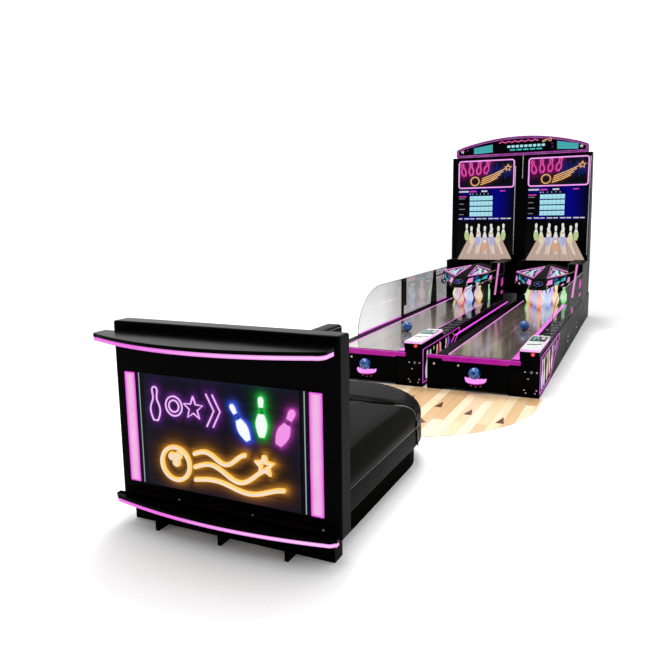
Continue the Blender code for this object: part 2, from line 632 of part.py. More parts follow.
def cushions():
    """Upholstered seat: two straight sides and one round end."""
    inner = SPINE_HALF + GAP
    for name, x in (("left", (-SEAT_HALF, -inner)), ("right", (inner, SEAT_HALF))):
        limits = (x, (WALL_Y[1] + GAP, SEAT_ROUND_Y - GAP), SEAT_Z)
        cushion = add("side_cushion_" + name, boxes_mesh("side_cushion", [limits]),
                      material("seat_vinyl_" + name, BLACK, 0.4))
        bevel(cushion, 0.03, 2)
    end = add("end_cushion", outline_mesh("end_cushion", rounded_end(SEAT_HALF, SEAT_ROUND_Y, 24), SEAT_Z, "XY"),
              material("seat_vinyl_end", BLACK, 0.4))
    bevel(end, 0.03, 2)


for side, cx in LANE_X.items():
    cabinet_body(side, cx)
    lane_deck(side, cx)
    front_panel(side, cx)
    ball_cup(side, cx)
    ball("return_ball_" + side, (cx + CUP_X, FRONT + CUP_BALL_Y, CUP_BALL_Z))
    ball_x, ball_y = PLAY_BALL[side]
    ball("play_ball_" + side, (cx + ball_x, FRONT + ball_y, LEFT_LEDGE_Z + BALL_R + GAP))
    control_box(side, cx)
    start_button(side, cx)
    service_door(side, cx)
    pins(side, cx)
    pit_hood(side, cx)
    tower_casing(side, cx)
    display_screen(side, cx)
marquee()
for guard, layout in GUARDS.items():
    guard_panel(guard, layout, GUARD_BACK[guard])
guard_posts()
approach_floor()
sign_wall()
shelf("top_shelf", TOP_SHELF)
shelf("lower_shelf", LOWER_SHELF)
sign_panel()
spine_back()
seat_base()
cushions()
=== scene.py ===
"""Looks of the twin-lane arcade bowling game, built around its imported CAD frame."""
from math import cos, hypot, pi, radians, sin

import bmesh
import bpy
import numpy as np
from mathutils import Matrix, Vector


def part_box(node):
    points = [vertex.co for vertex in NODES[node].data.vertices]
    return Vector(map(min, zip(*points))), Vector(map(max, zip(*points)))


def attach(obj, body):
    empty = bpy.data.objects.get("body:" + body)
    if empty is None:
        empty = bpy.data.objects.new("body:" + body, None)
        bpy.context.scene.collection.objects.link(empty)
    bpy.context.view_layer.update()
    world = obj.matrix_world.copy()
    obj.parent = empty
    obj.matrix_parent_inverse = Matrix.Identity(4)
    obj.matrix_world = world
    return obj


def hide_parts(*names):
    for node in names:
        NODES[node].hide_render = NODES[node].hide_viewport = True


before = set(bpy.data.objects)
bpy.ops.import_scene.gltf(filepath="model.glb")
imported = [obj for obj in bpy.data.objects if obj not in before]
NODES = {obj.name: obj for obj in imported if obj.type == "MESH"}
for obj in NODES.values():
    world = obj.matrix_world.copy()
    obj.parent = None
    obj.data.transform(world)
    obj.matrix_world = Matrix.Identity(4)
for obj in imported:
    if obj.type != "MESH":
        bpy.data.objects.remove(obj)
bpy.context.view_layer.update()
ROOT = "machine"

# ---- places taken from the frame, in metres ----
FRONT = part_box("front_panel_right")[0].y + 0.012      # front plane of the lane cabinets
LANES = {}
for side in ("left", "right"):
    low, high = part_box("cabinet_body_" + side)
    LANES[side] = (low.x + high.x) / 2
DECK_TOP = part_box("lane_deck_right")[1].z
LEDGE_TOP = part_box("cabinet_body_right")[1].z
WALL_LOW, WALL_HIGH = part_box("sign_wall")
SIGN_LOW, SIGN_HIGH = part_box("sign_panel")
PIN_HEIGHT = 0.320
LIFT = 0.0008                                          # how far a print stands off its panel


# ---------------------------------------------------------------- materials
def new_material(name):
    """An empty node material and its Principled shader."""
    mat = bpy.data.materials.new(name)
    mat.use_nodes = True
    return mat, mat.node_tree, mat.node_tree.nodes["Principled BSDF"]


def place_nodes(tree, scale=(1, 1, 1), turn=(0, 0, 0), shift=(0, 0, 0)):
    """Object coordinates through a Mapping node."""
    coord = tree.nodes.new("ShaderNodeTexCoord")
    mapping = tree.nodes.new("ShaderNodeMapping")
    mapping.inputs["Scale"].default_value = scale
    mapping.inputs["Rotation"].default_value = turn
    mapping.inputs["Location"].default_value = shift
    tree.links.new(coord.outputs["Object"], mapping.inputs["Vector"])
    return mapping.outputs["Vector"]


def noise(tree, vector, scale, detail=3.0, rough=0.55, distortion=0.0):
    """A noise texture's factor."""
    node = tree.nodes.new("ShaderNodeTexNoise")
    node.inputs["Scale"].default_value = scale
    node.inputs["Detail"].default_value = detail
    node.inputs["Roughness"].default_value = rough
    node.inputs["Distortion"].default_value = distortion
    tree.links.new(vector, node.inputs["Vector"])
    return node.outputs["Fac"]


def ramp(tree, factor, stops):
    """A colour ramp through (place, colour) stops."""
    node = tree.nodes.new("ShaderNodeValToRGB")
    elements = node.color_ramp.elements
    while len(elements) < len(stops):
        elements.new(0.5)
    for element, (place, colour) in zip(elements, stops):
        element.position = place
        element.color = (*colour, 1.0)
    tree.links.new(factor, node.inputs["Fac"])
    return node.outputs["Color"]


def remap(tree, factor, low, high):
    """A factor from 0 to 1 moved to the range low to high."""
    node = tree.nodes.new("ShaderNodeMapRange")
    node.inputs["To Min"].default_value = low
    node.inputs["To Max"].default_value = high
    tree.links.new(factor, node.inputs["Value"])
    return node.outputs["Result"]


def maths(tree, operation, a, b):
    """One Math node on sockets or numbers."""
    node = tree.nodes.new("ShaderNodeMath")
    node.operation = operation
    for socket, value in zip(node.inputs, (a, b)):
        if isinstance(value, (int, float)):
            socket.default_value = value
        else:
            tree.links.new(value, socket)
    return node.outputs["Value"]


def mix(tree, factor, a, b, kind="MIX"):
    """A colour mix of two sockets or colours."""
    node = tree.nodes.new("ShaderNodeMix")
    node.data_type = "RGBA"
    node.blend_type = kind
    for socket, value in ((node.inputs["Factor"], factor), (node.inputs[6], a), (node.inputs[7], b)):
        if isinstance(value, (int, float)):
            socket.default_value = value
        elif isinstance(value, tuple):
            socket.default_value = (*value, 1.0)
        else:
            tree.links.new(value, socket)
    return node.outputs[2]


def bump(tree, shader, height, strength, distance=0.001):
    """A bump map on the shader's normal."""
    node = tree.nodes.new("ShaderNodeBump")
    node.inputs["Strength"].default_value = strength
    node.inputs["Distance"].default_value = distance
    tree.links.new(height, node.inputs["Height"])
    tree.links.new(node.outputs["Normal"], shader.inputs["Normal"])


def laminate(name, colour=(0.0012, 0.0012, 0.0014), rough=(0.30, 0.46), specular=0.008, grain=420.0):
    """Satin black board or coated metal, with a fine texture, smudges and faint dust."""
    mat, tree, shader = new_material(name)
    here = place_nodes(tree)
    smudge = noise(tree, here, 5.0, 5.0)
    fine = noise(tree, here, grain, 2.0)
    lighter = tuple(min(1.0, c * 1.35 + 0.0003) for c in colour)
    tree.links.new(ramp(tree, smudge, [(0.35, colour), (0.75, lighter)]), shader.inputs["Base Color"])
    tree.links.new(remap(tree, smudge, *rough), shader.inputs["Roughness"])
    shader.inputs["Specular IOR Level"].default_value = specular
    bump(tree, shader, fine, 0.12, 0.0006)
    return mat


def glow(name, colour, strength=1.0, base=0.04, rough=0.3, pale=0.12):
    """A lit translucent plastic: even light with slight unevenness along it."""
    mat, tree, shader = new_material(name)
    here = place_nodes(tree)
    patch = noise(tree, here, 9.0, 2.0)
    shader.inputs["Base Color"].default_value = (*[c * base for c in colour], 1.0)
    shader.inputs["Roughness"].default_value = rough
    paler = tuple(c + (1 - c) * pale for c in colour)
    shader.inputs["Specular IOR Level"].default_value = 0.15
    tree.links.new(ramp(tree, patch, [(0.3, colour), (0.8, paler)]), shader.inputs["Emission Color"])
    tree.links.new(remap(tree, patch, strength * 0.92, strength * 1.08), shader.inputs["Emission Strength"])
    return mat


def led_band(name, left, right, strength):
    """A diffused LED strip that grows paler towards +X."""
    mat, tree, shader = new_material(name)
    coord = tree.nodes.new("ShaderNodeTexCoord")
    split = tree.nodes.new("ShaderNodeSeparateXYZ")
    tree.links.new(coord.outputs["Object"], split.inputs["Vector"])
    along = maths(tree, "ADD", maths(tree, "MULTIPLY", split.outputs["X"], 0.75), 0.5)
    patch = noise(tree, place_nodes(tree), 12.0, 2.0)
    tree.links.new(ramp(tree, along, [(0.25, left), (0.85, right)]), shader.inputs["Emission Color"])
    tree.links.new(remap(tree, patch, strength * 0.93, strength * 1.07), shader.inputs["Emission Strength"])
    shader.inputs["Base Color"].default_value = (0.03, 0.01, 0.03, 1.0)
    shader.inputs["Roughness"].default_value = 0.35
    shader.inputs["Specular IOR Level"].default_value = 0.15
    return mat


def printed(name, colour, strength=0.0, rough=0.25):
    """A flat ink or a lit pixel area, with a trace of print grain."""
    mat, tree, shader = new_material(name)
    here = place_nodes(tree)
    grain = noise(tree, here, 160.0, 2.0)
    darker = tuple(c * 0.86 for c in colour)
    ink = ramp(tree, grain, [(0.3, darker), (0.7, colour)])
    if strength:
        shader.inputs["Base Color"].default_value = (*[c * 0.04 for c in colour], 1.0)
    else:
        tree.links.new(ink, shader.inputs["Base Color"])
    shader.inputs["Specular IOR Level"].default_value = 0.05
    shader.inputs["Roughness"].default_value = rough
    if strength:
        tree.links.new(ink, shader.inputs["Emission Color"])
        shader.inputs["Emission Strength"].default_value = strength
    return mat


def planks(name, tones, board, joint, rough, grain_dark, coat=0.0, coat_rough=0.05, gap=0.0012):
    """Boards that run along Y: joints, a tone for each board, long grain and pores."""
    mat, tree, shader = new_material(name)
    swap = place_nodes(tree, turn=(0, 0, pi / 2))
    brick = tree.nodes.new("ShaderNodeTexBrick")
    brick.offset = 0.37
    brick.inputs["Color1"].default_value = (0, 0, 0, 1)
    brick.inputs["Color2"].default_value = (1, 1, 1, 1)
    brick.inputs["Mortar"].default_value = (0.5, 0.5, 0.5, 1)
    brick.inputs["Scale"].default_value = 1.0
    brick.inputs["Mortar Size"].default_value = gap
    brick.inputs["Mortar Smooth"].default_value = 0.1
    brick.inputs["Bias"].default_value = 0.0
    brick.inputs["Brick Width"].default_value = joint
    brick.inputs["Row Height"].default_value = board
    tree.links.new(swap, brick.inputs["Vector"])
    tone = ramp(tree, brick.outputs["Color"], tones)
    long_grain = noise(tree, place_nodes(tree, scale=(60, 2.2, 60)), 1.0, 6.0, 0.6, 0.4)
    streak = noise(tree, place_nodes(tree, scale=(9, 0.5, 9)), 1.0, 4.0, 0.6, 0.3)
    grained = mix(tree, remap(tree, long_grain, 0.0, 0.75), tone, grain_dark, "MULTIPLY")
    streaked = mix(tree, remap(tree, streak, 0.0, 0.5), grained, grain_dark, "MULTIPLY")
    jointed = mix(tree, brick.outputs["Fac"], streaked, tuple(c * 0.35 for c in grain_dark))
    tree.links.new(jointed, shader.inputs["Base Color"])
    tree.links.new(remap(tree, long_grain, rough * 0.8, rough * 1.3), shader.inputs["Roughness"])
    shader.inputs["Coat Weight"].default_value = coat
    shader.inputs["Coat Roughness"].default_value = coat_rough
    bump(tree, shader, maths(tree, "SUBTRACT", long_grain, brick.outputs["Fac"]), 0.15, 0.0004)
    return mat


def clear_sheet(name, alpha, far_alpha, ior):
    """Clear polished plastic sheet with faint haze and fine scratches, more smoked towards its far end."""
    mat, tree, shader = new_material(name)
    coord = tree.nodes.new("ShaderNodeTexCoord")
    split = tree.nodes.new("ShaderNodeSeparateXYZ")
    tree.links.new(coord.outputs["Object"], split.inputs["Vector"])
    far = remap(tree, maths(tree, "SUBTRACT", split.outputs["Y"], 0.6), alpha, far_alpha)
    haze = noise(tree, place_nodes(tree), 3.0, 4.0)
    scratch = noise(tree, place_nodes(tree, scale=(40, 400, 15)), 1.0, 2.0)
    shader.inputs["Base Color"].default_value = (0.012, 0.012, 0.012, 1.0)
    shader.inputs["IOR"].default_value = ior
    tree.links.new(maths(tree, "MULTIPLY", far, remap(tree, haze, 0.9, 1.1)), shader.inputs["Alpha"])
    tree.links.new(remap(tree, haze, 0.02, 0.06), shader.inputs["Roughness"])
    bump(tree, shader, scratch, 0.02, 0.0002)
    return mat


def vinyl(name):
    """Soft black upholstery vinyl with a pebbled grain and a broad sheen."""
    mat, tree, shader = new_material(name)
    here = place_nodes(tree)
    cell = tree.nodes.new("ShaderNodeTexVoronoi")
    cell.feature = "DISTANCE_TO_EDGE"
    cell.inputs["Scale"].default_value = 260.0
    tree.links.new(here, cell.inputs["Vector"])
    patch = noise(tree, here, 3.0, 4.0)
    tree.links.new(ramp(tree, patch, [(0.3, (0.0010, 0.0010, 0.0008)), (0.8, (0.0018, 0.0018, 0.0014))]),
                   shader.inputs["Base Color"])
    tree.links.new(remap(tree, patch, 0.28, 0.38), shader.inputs["Roughness"])
    shader.inputs["Specular IOR Level"].default_value = 0.010
    bump(tree, shader, remap(tree, cell.outputs["Distance"], 0.0, 1.0), 0.20, 0.0008)
    return mat


def marbled(name):
    """Polished dark blue ball with lighter swirls."""
    mat, tree, shader = new_material(name)
    swirl = noise(tree, place_nodes(tree), 16.0, 4.0, 0.55, 2.2)
    tree.links.new(ramp(tree, swirl, [(0.34, (0.000, 0.008, 0.11)), (0.50, (0.003, 0.050, 0.26)),
                                      (0.62, (0.02, 0.20, 0.50)), (0.74, (0.12, 0.42, 0.72))]),
                   shader.inputs["Base Color"])
    shader.inputs["Roughness"].default_value = 0.12
    shader.inputs["Coat Weight"].default_value = 0.4
    shader.inputs["Coat Roughness"].default_value = 0.02
    return mat


def pin_glow(name, colour, strength):
    """Lit translucent pin: brighter low in the body, deeper at the neck and the foot."""
    mat, tree, shader = new_material(name)
    coord = tree.nodes.new("ShaderNodeTexCoord")
    split = tree.nodes.new("ShaderNodeSeparateXYZ")
    tree.links.new(coord.outputs["Object"], split.inputs["Vector"])
    up = tree.nodes.new("ShaderNodeMapRange")
    up.inputs["From Min"].default_value = DECK_TOP
    up.inputs["From Max"].default_value = DECK_TOP + PIN_HEIGHT
    tree.links.new(split.outputs["Z"], up.inputs["Value"])
    cream = tuple(c + (1 - c) * 0.62 for c in colour)
    middle = tuple(c + (1 - c) * 0.30 for c in colour)
    body = ramp(tree, up.outputs["Result"], [(0.0, colour), (0.30, cream), (0.62, middle), (1.0, cream)])
    cloud = noise(tree, place_nodes(tree), 22.0, 3.0)
    shader.inputs["Base Color"].default_value = (*[c * 0.05 for c in colour], 1.0)
    tree.links.new(body, shader.inputs["Emission Color"])
    tree.links.new(remap(tree, cloud, strength * 0.85, strength * 1.1), shader.inputs["Emission Strength"])
    shader.inputs["Roughness"].default_value = 0.18
    shader.inputs["Coat Weight"].default_value = 0.6
    return mat


def metal(name, colour, rough=0.25):
    """Plated metal with fine brushing."""
    mat, tree, shader = new_material(name)
    brush = noise(tree, place_nodes(tree, scale=(200, 20, 200)), 1.0, 3.0)
    shader.inputs["Base Color"].default_value = (*colour, 1.0)
    shader.inputs["Metallic"].default_value = 1.0
    tree.links.new(remap(tree, brush, rough * 0.7, rough * 1.4), shader.inputs["Roughness"])
    bump(tree, shader, brush, 0.05, 0.0002)
    return mat


def score_gradient(name):
    """Deep blue screen ground, brightest beside the score grid of each lane."""
    mat, tree, shader = new_material(name)
    coord = tree.nodes.new("ShaderNodeTexCoord")
    split = tree.nodes.new("ShaderNodeSeparateXYZ")
    tree.links.new(coord.outputs["Object"], split.inputs["Vector"])
    from_middle = maths(tree, "ABSOLUTE", split.outputs["X"], 0.0)
    lane = maths(tree, "ABSOLUTE", maths(tree, "SUBTRACT", from_middle, 0.5755), 0.0)
    tree.links.new(ramp(tree, maths(tree, "MULTIPLY", lane, 2.0), [(0.0, (0.0, 0.0, 0.040)), (0.45, (0.0, 0.0, 0.20)),
                                                                  (0.9, (0.0, 0.0, 0.020))]),
                   shader.inputs["Emission Color"])
    shader.inputs["Base Color"].default_value = (0.0006, 0.0006, 0.002, 1.0)
    shader.inputs["Emission Strength"].default_value = 1.0
    shader.inputs["Roughness"].default_value = 0.15
    shader.inputs["Specular IOR Level"].default_value = 0.05
    return mat


def sign_art(name):
    """Back-lit print of dark boards; the painted-in wash of the neon lights them up."""
    mat, tree, shader = new_material(name)
    coord = tree.nodes.new("ShaderNodeTexCoord")
    boards = tree.nodes.new("ShaderNodeTexWave")
    boards.bands_direction = "Z"
    boards.wave_profile = "SAW"
    boards.inputs["Scale"].default_value = 3.1
    boards.inputs["Distortion"].default_value = 0.6
    boards.inputs["Detail"].default_value = 2.0
    tree.links.new(coord.outputs["Object"], boards.inputs["Vector"])
    grain = noise(tree, place_nodes(tree, scale=(4, 4, 70)), 1.0, 6.0, 0.65, 0.5)
    timber = maths(tree, "MULTIPLY", remap(tree, grain, 0.45, 1.35), remap(tree, boards.outputs["Fac"], 0.70, 1.05))
    wash = tree.nodes.new("ShaderNodeAttribute")
    wash.attribute_name = "wash"
    level = mix(tree, 1.0, wash.outputs["Color"], timber, "MULTIPLY")
    shader.inputs["Base Color"].default_value = (0.002, 0.002, 0.003, 1.0)
    shader.inputs["Roughness"].default_value = 0.22
    shader.inputs["Specular IOR Level"].default_value = 0.03
    tree.links.new(level, shader.inputs["Emission Color"])
    shader.inputs["Emission Strength"].default_value = 1.0
    return mat


PINK = (0.90, 0.26, 0.86)
CYAN = (0.07, 0.62, 0.68)

BLACK = laminate("black_laminate")
BLACK_METAL = laminate("black_coated_metal", (0.0013, 0.0013, 0.0015), (0.32, 0.46), 0.014, 700.0)
BENCH_BLACK = laminate("bench_laminate", (0.0009, 0.0009, 0.0008), (0.12, 0.20), 0.012, 300.0)
GREY_SIDE = laminate("side_laminate", (0.0009, 0.0009, 0.0007), (0.34, 0.46), 0.001, 300.0)
GLOSS_BLACK = laminate("gloss_laminate", (0.0012, 0.0012, 0.0014), (0.04, 0.09), 0.5, 300.0)
LANE_WOOD = planks("lane_board", [(0.0, (0.13, 0.10, 0.083)), (1.0, (0.27, 0.215, 0.18))], 0.040, 1.6, 0.16,
                   (0.55, 0.52, 0.50), coat=1.0, coat_rough=0.11)
MAPLE = planks("maple_floor", [(0.0, (0.62, 0.42, 0.22)), (0.35, (0.84, 0.70, 0.48)), (1.0, (0.97, 0.91, 0.79))],
               0.095, 1.15, 0.30, (0.84, 0.66, 0.44), coat=0.2, coat_rough=0.15)
INLAY = planks("dark_inlay", [(0.0, (0.10, 0.045, 0.015)), (1.0, (0.16, 0.075, 0.03))], 0.095, 1.15, 0.30,
               (0.6, 0.5, 0.4), coat=0.35, coat_rough=0.15)
CLEAR = {"left": clear_sheet("smoked_guard", 0.22, 0.50, 3.0), "middle": clear_sheet("clear_guard", 0.04, 0.07, 1.5)}
CLEAR["right"] = CLEAR["middle"]
VINYL = vinyl("black_vinyl")
MARBLE = marbled("blue_marble")
STEEL = metal("plated_steel", (0.55, 0.55, 0.57))
DARK_STEEL = metal("dark_plated_steel", (0.18, 0.18, 0.19), 0.35)
GREY_TRIM = metal("grey_trim", (0.42, 0.40, 0.40), 0.4)
LED_PINK = glow("pink_led", PINK, 1.0)
LED_HOT = glow("hot_pink_led", (0.75, 0.02, 0.70), 1.0)
GUARD_LED = glow("guard_line_led", (0.95, 0.06, 0.92), 1.0, pale=0.05)
LED_EDGE = glow("rim_led", (0.92, 0.42, 0.88), 1.0)
SHELF_LED = led_band("shelf_led", (0.80, 0.13, 0.72), (0.95, 0.40, 0.90), 1.0)
SHELF_CORE = led_band("shelf_led_core", (0.86, 0.22, 0.80), (1.0, 0.80, 0.98), 1.1)
BUMPER = glow("magenta_bumper", (0.40, 0.0, 0.27), 0.92, base=0.10, pale=0.02)
CUP_GLOW = glow("cup_glow", (0.96, 0.30, 0.98), 1.0)
NEON_LILAC = glow("lilac_neon", (0.86, 0.48, 0.90), 1.0)
NEON_AMBER = glow("amber_neon", (1.0, 0.58, 0.12), 1.1, pale=0.05)
NEON_WHITE = glow("white_neon", (0.90, 0.92, 1.0), 1.0)
NEON_BLUE = glow("blue_neon", (0.08, 0.18, 0.95), 0.8)
NEON_GREEN = glow("green_neon", (0.84, 0.96, 0.87), 1.0)
NEON_ROSE = glow("rose_neon", (0.84, 0.26, 0.76), 1.0, pale=0.05)
HALO_GREEN = glow("green_halo", (0.02, 0.55, 0.08), 1.0)
PALE_BAR = printed("pale_light_bar", (0.86, 0.24, 0.78), 0.98)
PALE_LINE = printed("pale_blue_line", (0.45, 0.55, 0.68), 0.7)
SCREEN_BLACK = printed("screen_black", (0.0007, 0.0007, 0.0014), 0.0, 0.12)
SCORE_BLUE = score_gradient("score_blue")
CELL_CYAN = printed("cell_cyan", (0.40, 0.80, 0.88), 1.0)
INK_WHITE = printed("ink_white", (0.80, 0.82, 0.85), 0.75)
INK_GREY = printed("ink_grey", (0.30, 0.30, 0.34), 0.6)
INK_PINK = printed("ink_pink", (0.75, 0.05, 0.50), 0.9)
INK_ROSE = printed("ink_rose", (0.95, 0.30, 0.75), 0.9)
INK_BLUE = printed("ink_blue", (0.02, 0.09, 0.55), 0.8)
INK_CYAN = printed("ink_cyan", CYAN, 0.8)
INK_AMBER = printed("ink_amber", (0.85, 0.55, 0.25), 0.85)
INK_PURPLE = printed("ink_purple", (0.22, 0.03, 0.25), 0.5)
INK_LIME = printed("ink_lime", (0.55, 0.85, 0.35), 0.6)
INK_RED = printed("ink_red", (0.70, 0.04, 0.04), 0.5)
WHITE_PLASTIC = laminate("white_plastic", (0.50, 0.52, 0.52), (0.25, 0.4), 0.5, 500.0)
BUTTON_RED = glow("lit_red_button", (0.55, 0.01, 0.01), 0.9, base=0.8, rough=0.2)
# Painted highlight: the piping is the seat's black vinyl painted a lighter grey, for the bright line the seams catch;
# its high gloss is real.
PIPING = laminate("vinyl_piping", (0.030, 0.029, 0.026), (0.25, 0.38), 0.8, 900.0)
FLOOR_PALE = printed("studio_floor", (0.97, 0.97, 0.97), 0.0, 0.8)
BRASS = metal("brass_screw", (0.60, 0.42, 0.16), 0.3)
LED_STRIP = glow("deck_strip_led", (0.86, 0.10, 0.80), 1.0)
INK_BROWN = printed("ink_brown", (0.24, 0.15, 0.10), 0.8)
INK_NAVY = printed("ink_navy", (0.004, 0.012, 0.14), 1.0)
INK_CYAN_DEEP = printed("ink_deep_cyan", (0.02, 0.25, 0.30), 0.9)
CYAN_PANE = printed("cyan_pane", (0.07, 0.42, 0.45), 1.0)
PICTURE_WOOD = printed("picture_wood", (0.52, 0.39, 0.32), 1.0)
PICTURE_SHINE = printed("picture_shine", (0.74, 0.60, 0.54), 1.0)
PICTURE_LIME = printed("picture_lime", (0.50, 0.68, 0.32), 0.9)
PICTURE_LILAC = printed("picture_lilac", (0.48, 0.48, 0.85), 0.9)
PICTURE_CREAM = printed("picture_cream", (0.78, 0.70, 0.42), 0.95)
PICTURE_PEACH = printed("picture_peach", (0.80, 0.42, 0.26), 0.9)
PICTURE_WHITE = printed("picture_white", (0.78, 0.80, 0.76), 1.0)
NEON_PINK = glow("pink_neon", (0.72, 0.05, 0.30), 1.1)
NEON_GOLD = glow("gold_neon", (0.85, 0.45, 0.14), 1.0)
BORDER_PURPLE = glow("marquee_purple", (0.10, 0.025, 0.10), 0.8)
# Painted highlight: the guard's top edge is a light grey copy of the dark edge material, for the light the upward edge
# catches.
GUARD_TOP = laminate("guard_top_edge", (0.16, 0.155, 0.15), (0.15, 0.3), 0.6, 600.0)
GUARD_BLACK = laminate("guard_dark_edge", (0.004, 0.004, 0.005), (0.15, 0.3), 0.6, 600.0)
# Painted glow: a dim pink emissive edge for the pink LED light seen in the left guard's clear front edge.
GUARD_PINK = glow("guard_edge_painted_glow", (0.30, 0.05, 0.26), 0.8, base=0.5)
SIGN_ART = sign_art("sign_art")
CORE_CREAM = glow("amber_neon_core", (0.84, 0.70, 0.60), 1.0, pale=0.04)
BAR_CORES = [glow(f"light_bar_core_{n}", (0.82 + 0.01 * n, 0.34 + 0.05 * n, 0.72 + 0.01 * n), 1.0, pale=0.03)
             for n in range(3)]
PIN_COLOURS = ((1.0, 0.16, 0.04), (0.10, 0.34, 1.0), (0.25, 0.50, 1.0), (0.95, 0.06, 0.10), (0.60, 0.66, 1.0),
               (1.0, 0.62, 0.04), (0.48, 0.85, 0.08), (1.0, 0.14, 0.42), (0.62, 0.22, 0.85), (0.12, 0.85, 0.10))
PIN_LOOKS = [pin_glow(f"lit_pin_{n + 1:02d}", colour, 0.95) for n, colour in enumerate(PIN_COLOURS)]


# ---------------------------------------------------------------- shape helpers
def own(obj, body=ROOT):
    """Ride on a body."""
    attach(obj, body)
    return obj


def mesh_piece(name, build, mat, body=ROOT, smooth=True):
    """A mesh object filled by a bmesh function, in the row frame."""
    bm = bmesh.new()
    build(bm)
    bmesh.ops.recalc_face_normals(bm, faces=bm.faces)
    mesh = bpy.data.meshes.new(name)
    bm.to_mesh(mesh)
    bm.free()
    mesh.materials.append(mat)
    obj = bpy.data.objects.new(name, mesh)
    bpy.context.scene.collection.objects.link(obj)
    if smooth:
        mesh.shade_smooth()
        mesh.set_sharp_from_angle(angle=radians(35))
    return own(obj, body)


def add_box(bm, low, high, radius=0.0, segments=2):
    """A box between two corners, its edges rounded."""
    low, high = Vector(low), Vector(high)
    size = high - low
    made = bmesh.ops.create_cube(bm, size=1.0, matrix=Matrix.Translation((low + high) / 2)
                                 @ Matrix.Diagonal((*size, 1.0)))
    if radius:
        edges = list({edge for vert in made["verts"] for edge in vert.link_edges})
        bmesh.ops.bevel(bm, geom=edges, offset=min(radius, min(size) * 0.49), segments=segments,
                        profile=0.5, affect="EDGES")


def box_piece(name, low, high, mat, radius=0.002, segments=2, body=ROOT):
    """One rounded box."""
    return mesh_piece(name, lambda bm: add_box(bm, low, high, radius, segments), mat, body)


def boxes_piece(name, boxes, mat, radius=0.002, segments=2, body=ROOT):
    """Several separate rounded boxes in one piece."""
    return mesh_piece(name, lambda bm: [add_box(bm, low, high, radius, segments) for low, high in boxes],
                      mat, body)


class Sheet:
    """A flat drawing surface: an origin, a right and an up direction, and an outward normal."""

    def __init__(self, origin, right, up):
        self.origin = Vector(origin)
        self.right = Vector(right).normalized()
        self.normal = self.right.cross(Vector(up)).normalized()
        self.up = self.normal.cross(self.right).normalized()

    def at(self, u, v, out=0.0):
        """A point of the sheet, lifted off it."""
        return self.origin + self.right * u + self.up * v + self.normal * out


def add_prism(bm, sheet, outline, low, high):
    """A thin closed plate on a sheet, from one height above it to another."""
    foot = [bm.verts.new(sheet.at(u, v, low)) for u, v in outline]
    head = [bm.verts.new(sheet.at(u, v, high)) for u, v in outline]
    bm.faces.new(list(reversed(foot)))
    bm.faces.new(head)
    count = len(outline)
    for i in range(count):
        j = (i + 1) % count
        bm.faces.new((foot[i], foot[j], head[j], head[i]))


def prints(name, sheet, outlines, mat, lift=LIFT, thick=0.0006, body=ROOT):
    """Flat printed or lit shapes on a sheet."""
    return mesh_piece(name, lambda bm: [add_prism(bm, sheet, o, lift - thick, lift) for o in outlines],
                      mat, body, smooth=False)


def rectangle(u0, v0, u1, v1, radius=0.0, steps=4):
    """A rectangle's outline, its corners rounded."""
    if not radius:
        return [(u0, v0), (u1, v0), (u1, v1), (u0, v1)]
    points = []
    corners = ((u1 - radius, v0 + radius, -90), (u1 - radius, v1 - radius, 0),
               (u0 + radius, v1 - radius, 90), (u0 + radius, v0 + radius, 180))
    for cu, cv, start in corners:
        for i in range(steps + 1):
            turn = radians(start + 90 * i / steps)
            points.append((cu + radius * cos(turn), cv + radius * sin(turn)))
    return points


def circle(cu, cv, radius, steps=24):
    """A circle's outline."""
    return [(cu + radius * cos(2 * pi * i / steps), cv + radius * sin(2 * pi * i / steps)) for i in range(steps)]


def star(cu, cv, radius, tips=5, waist=0.42, turn=90):
    """A star's outline."""
    points = []
    for i in range(tips * 2):
        reach = radius if i % 2 == 0 else radius * waist
        angle = radians(turn + 180 * i / tips)
        points.append((cu + reach * cos(angle), cv + reach * sin(angle)))
    return points


PIN_SHAPE = ((0.0, 0.068), (0.05, 0.094), (0.15, 0.130), (0.225, 0.150), (0.30, 0.159), (0.39, 0.152),
             (0.483, 0.123), (0.575, 0.083), (0.625, 0.066), (0.667, 0.060), (0.725, 0.0625), (0.783, 0.070),
             (0.842, 0.079), (0.90, 0.083), (0.95, 0.073), (0.985, 0.043), (1.0, 0.0))


def pin_outline(cu, cv, height, tilt=0.0, fat=1.0, low=0.0, high=1.0):
    """A ten-pin's side outline, standing on (cu, cv), tilted clockwise by degrees."""
    right = [(r * fat, h) for h, r in PIN_SHAPE if low <= h <= high]
    loop = right + [(-r, h) for r, h in reversed(right) if r > 0]
    c, s = cos(radians(tilt)), sin(radians(tilt))
    return [(cu + height * (x * c + y * s), cv + height * (y * c - x * s)) for x, y in loop]


def curve_mesh(name, paths, radius, resolution=4, cyclic=False):
    """Round tubes along 3-D paths, as one mesh with closed ends."""
    curve = bpy.data.curves.new(name, "CURVE")
    curve.dimensions = "3D"
    curve.bevel_depth = radius
    curve.bevel_resolution = resolution
    curve.use_fill_caps = True
    for path in paths:
        spline = curve.splines.new("POLY")
        spline.points.add(len(path) - 1)
        for spot, point in zip(spline.points, path):
            spot.co = (*point, 1.0)
        spline.use_cyclic_u = cyclic
    holder = bpy.data.objects.new(name, curve)
    bpy.context.scene.collection.objects.link(holder)
    evaluated = holder.evaluated_get(bpy.context.evaluated_depsgraph_get())
    mesh = bpy.data.meshes.new_from_object(evaluated)
    bpy.data.objects.remove(holder, do_unlink=True)
    return mesh


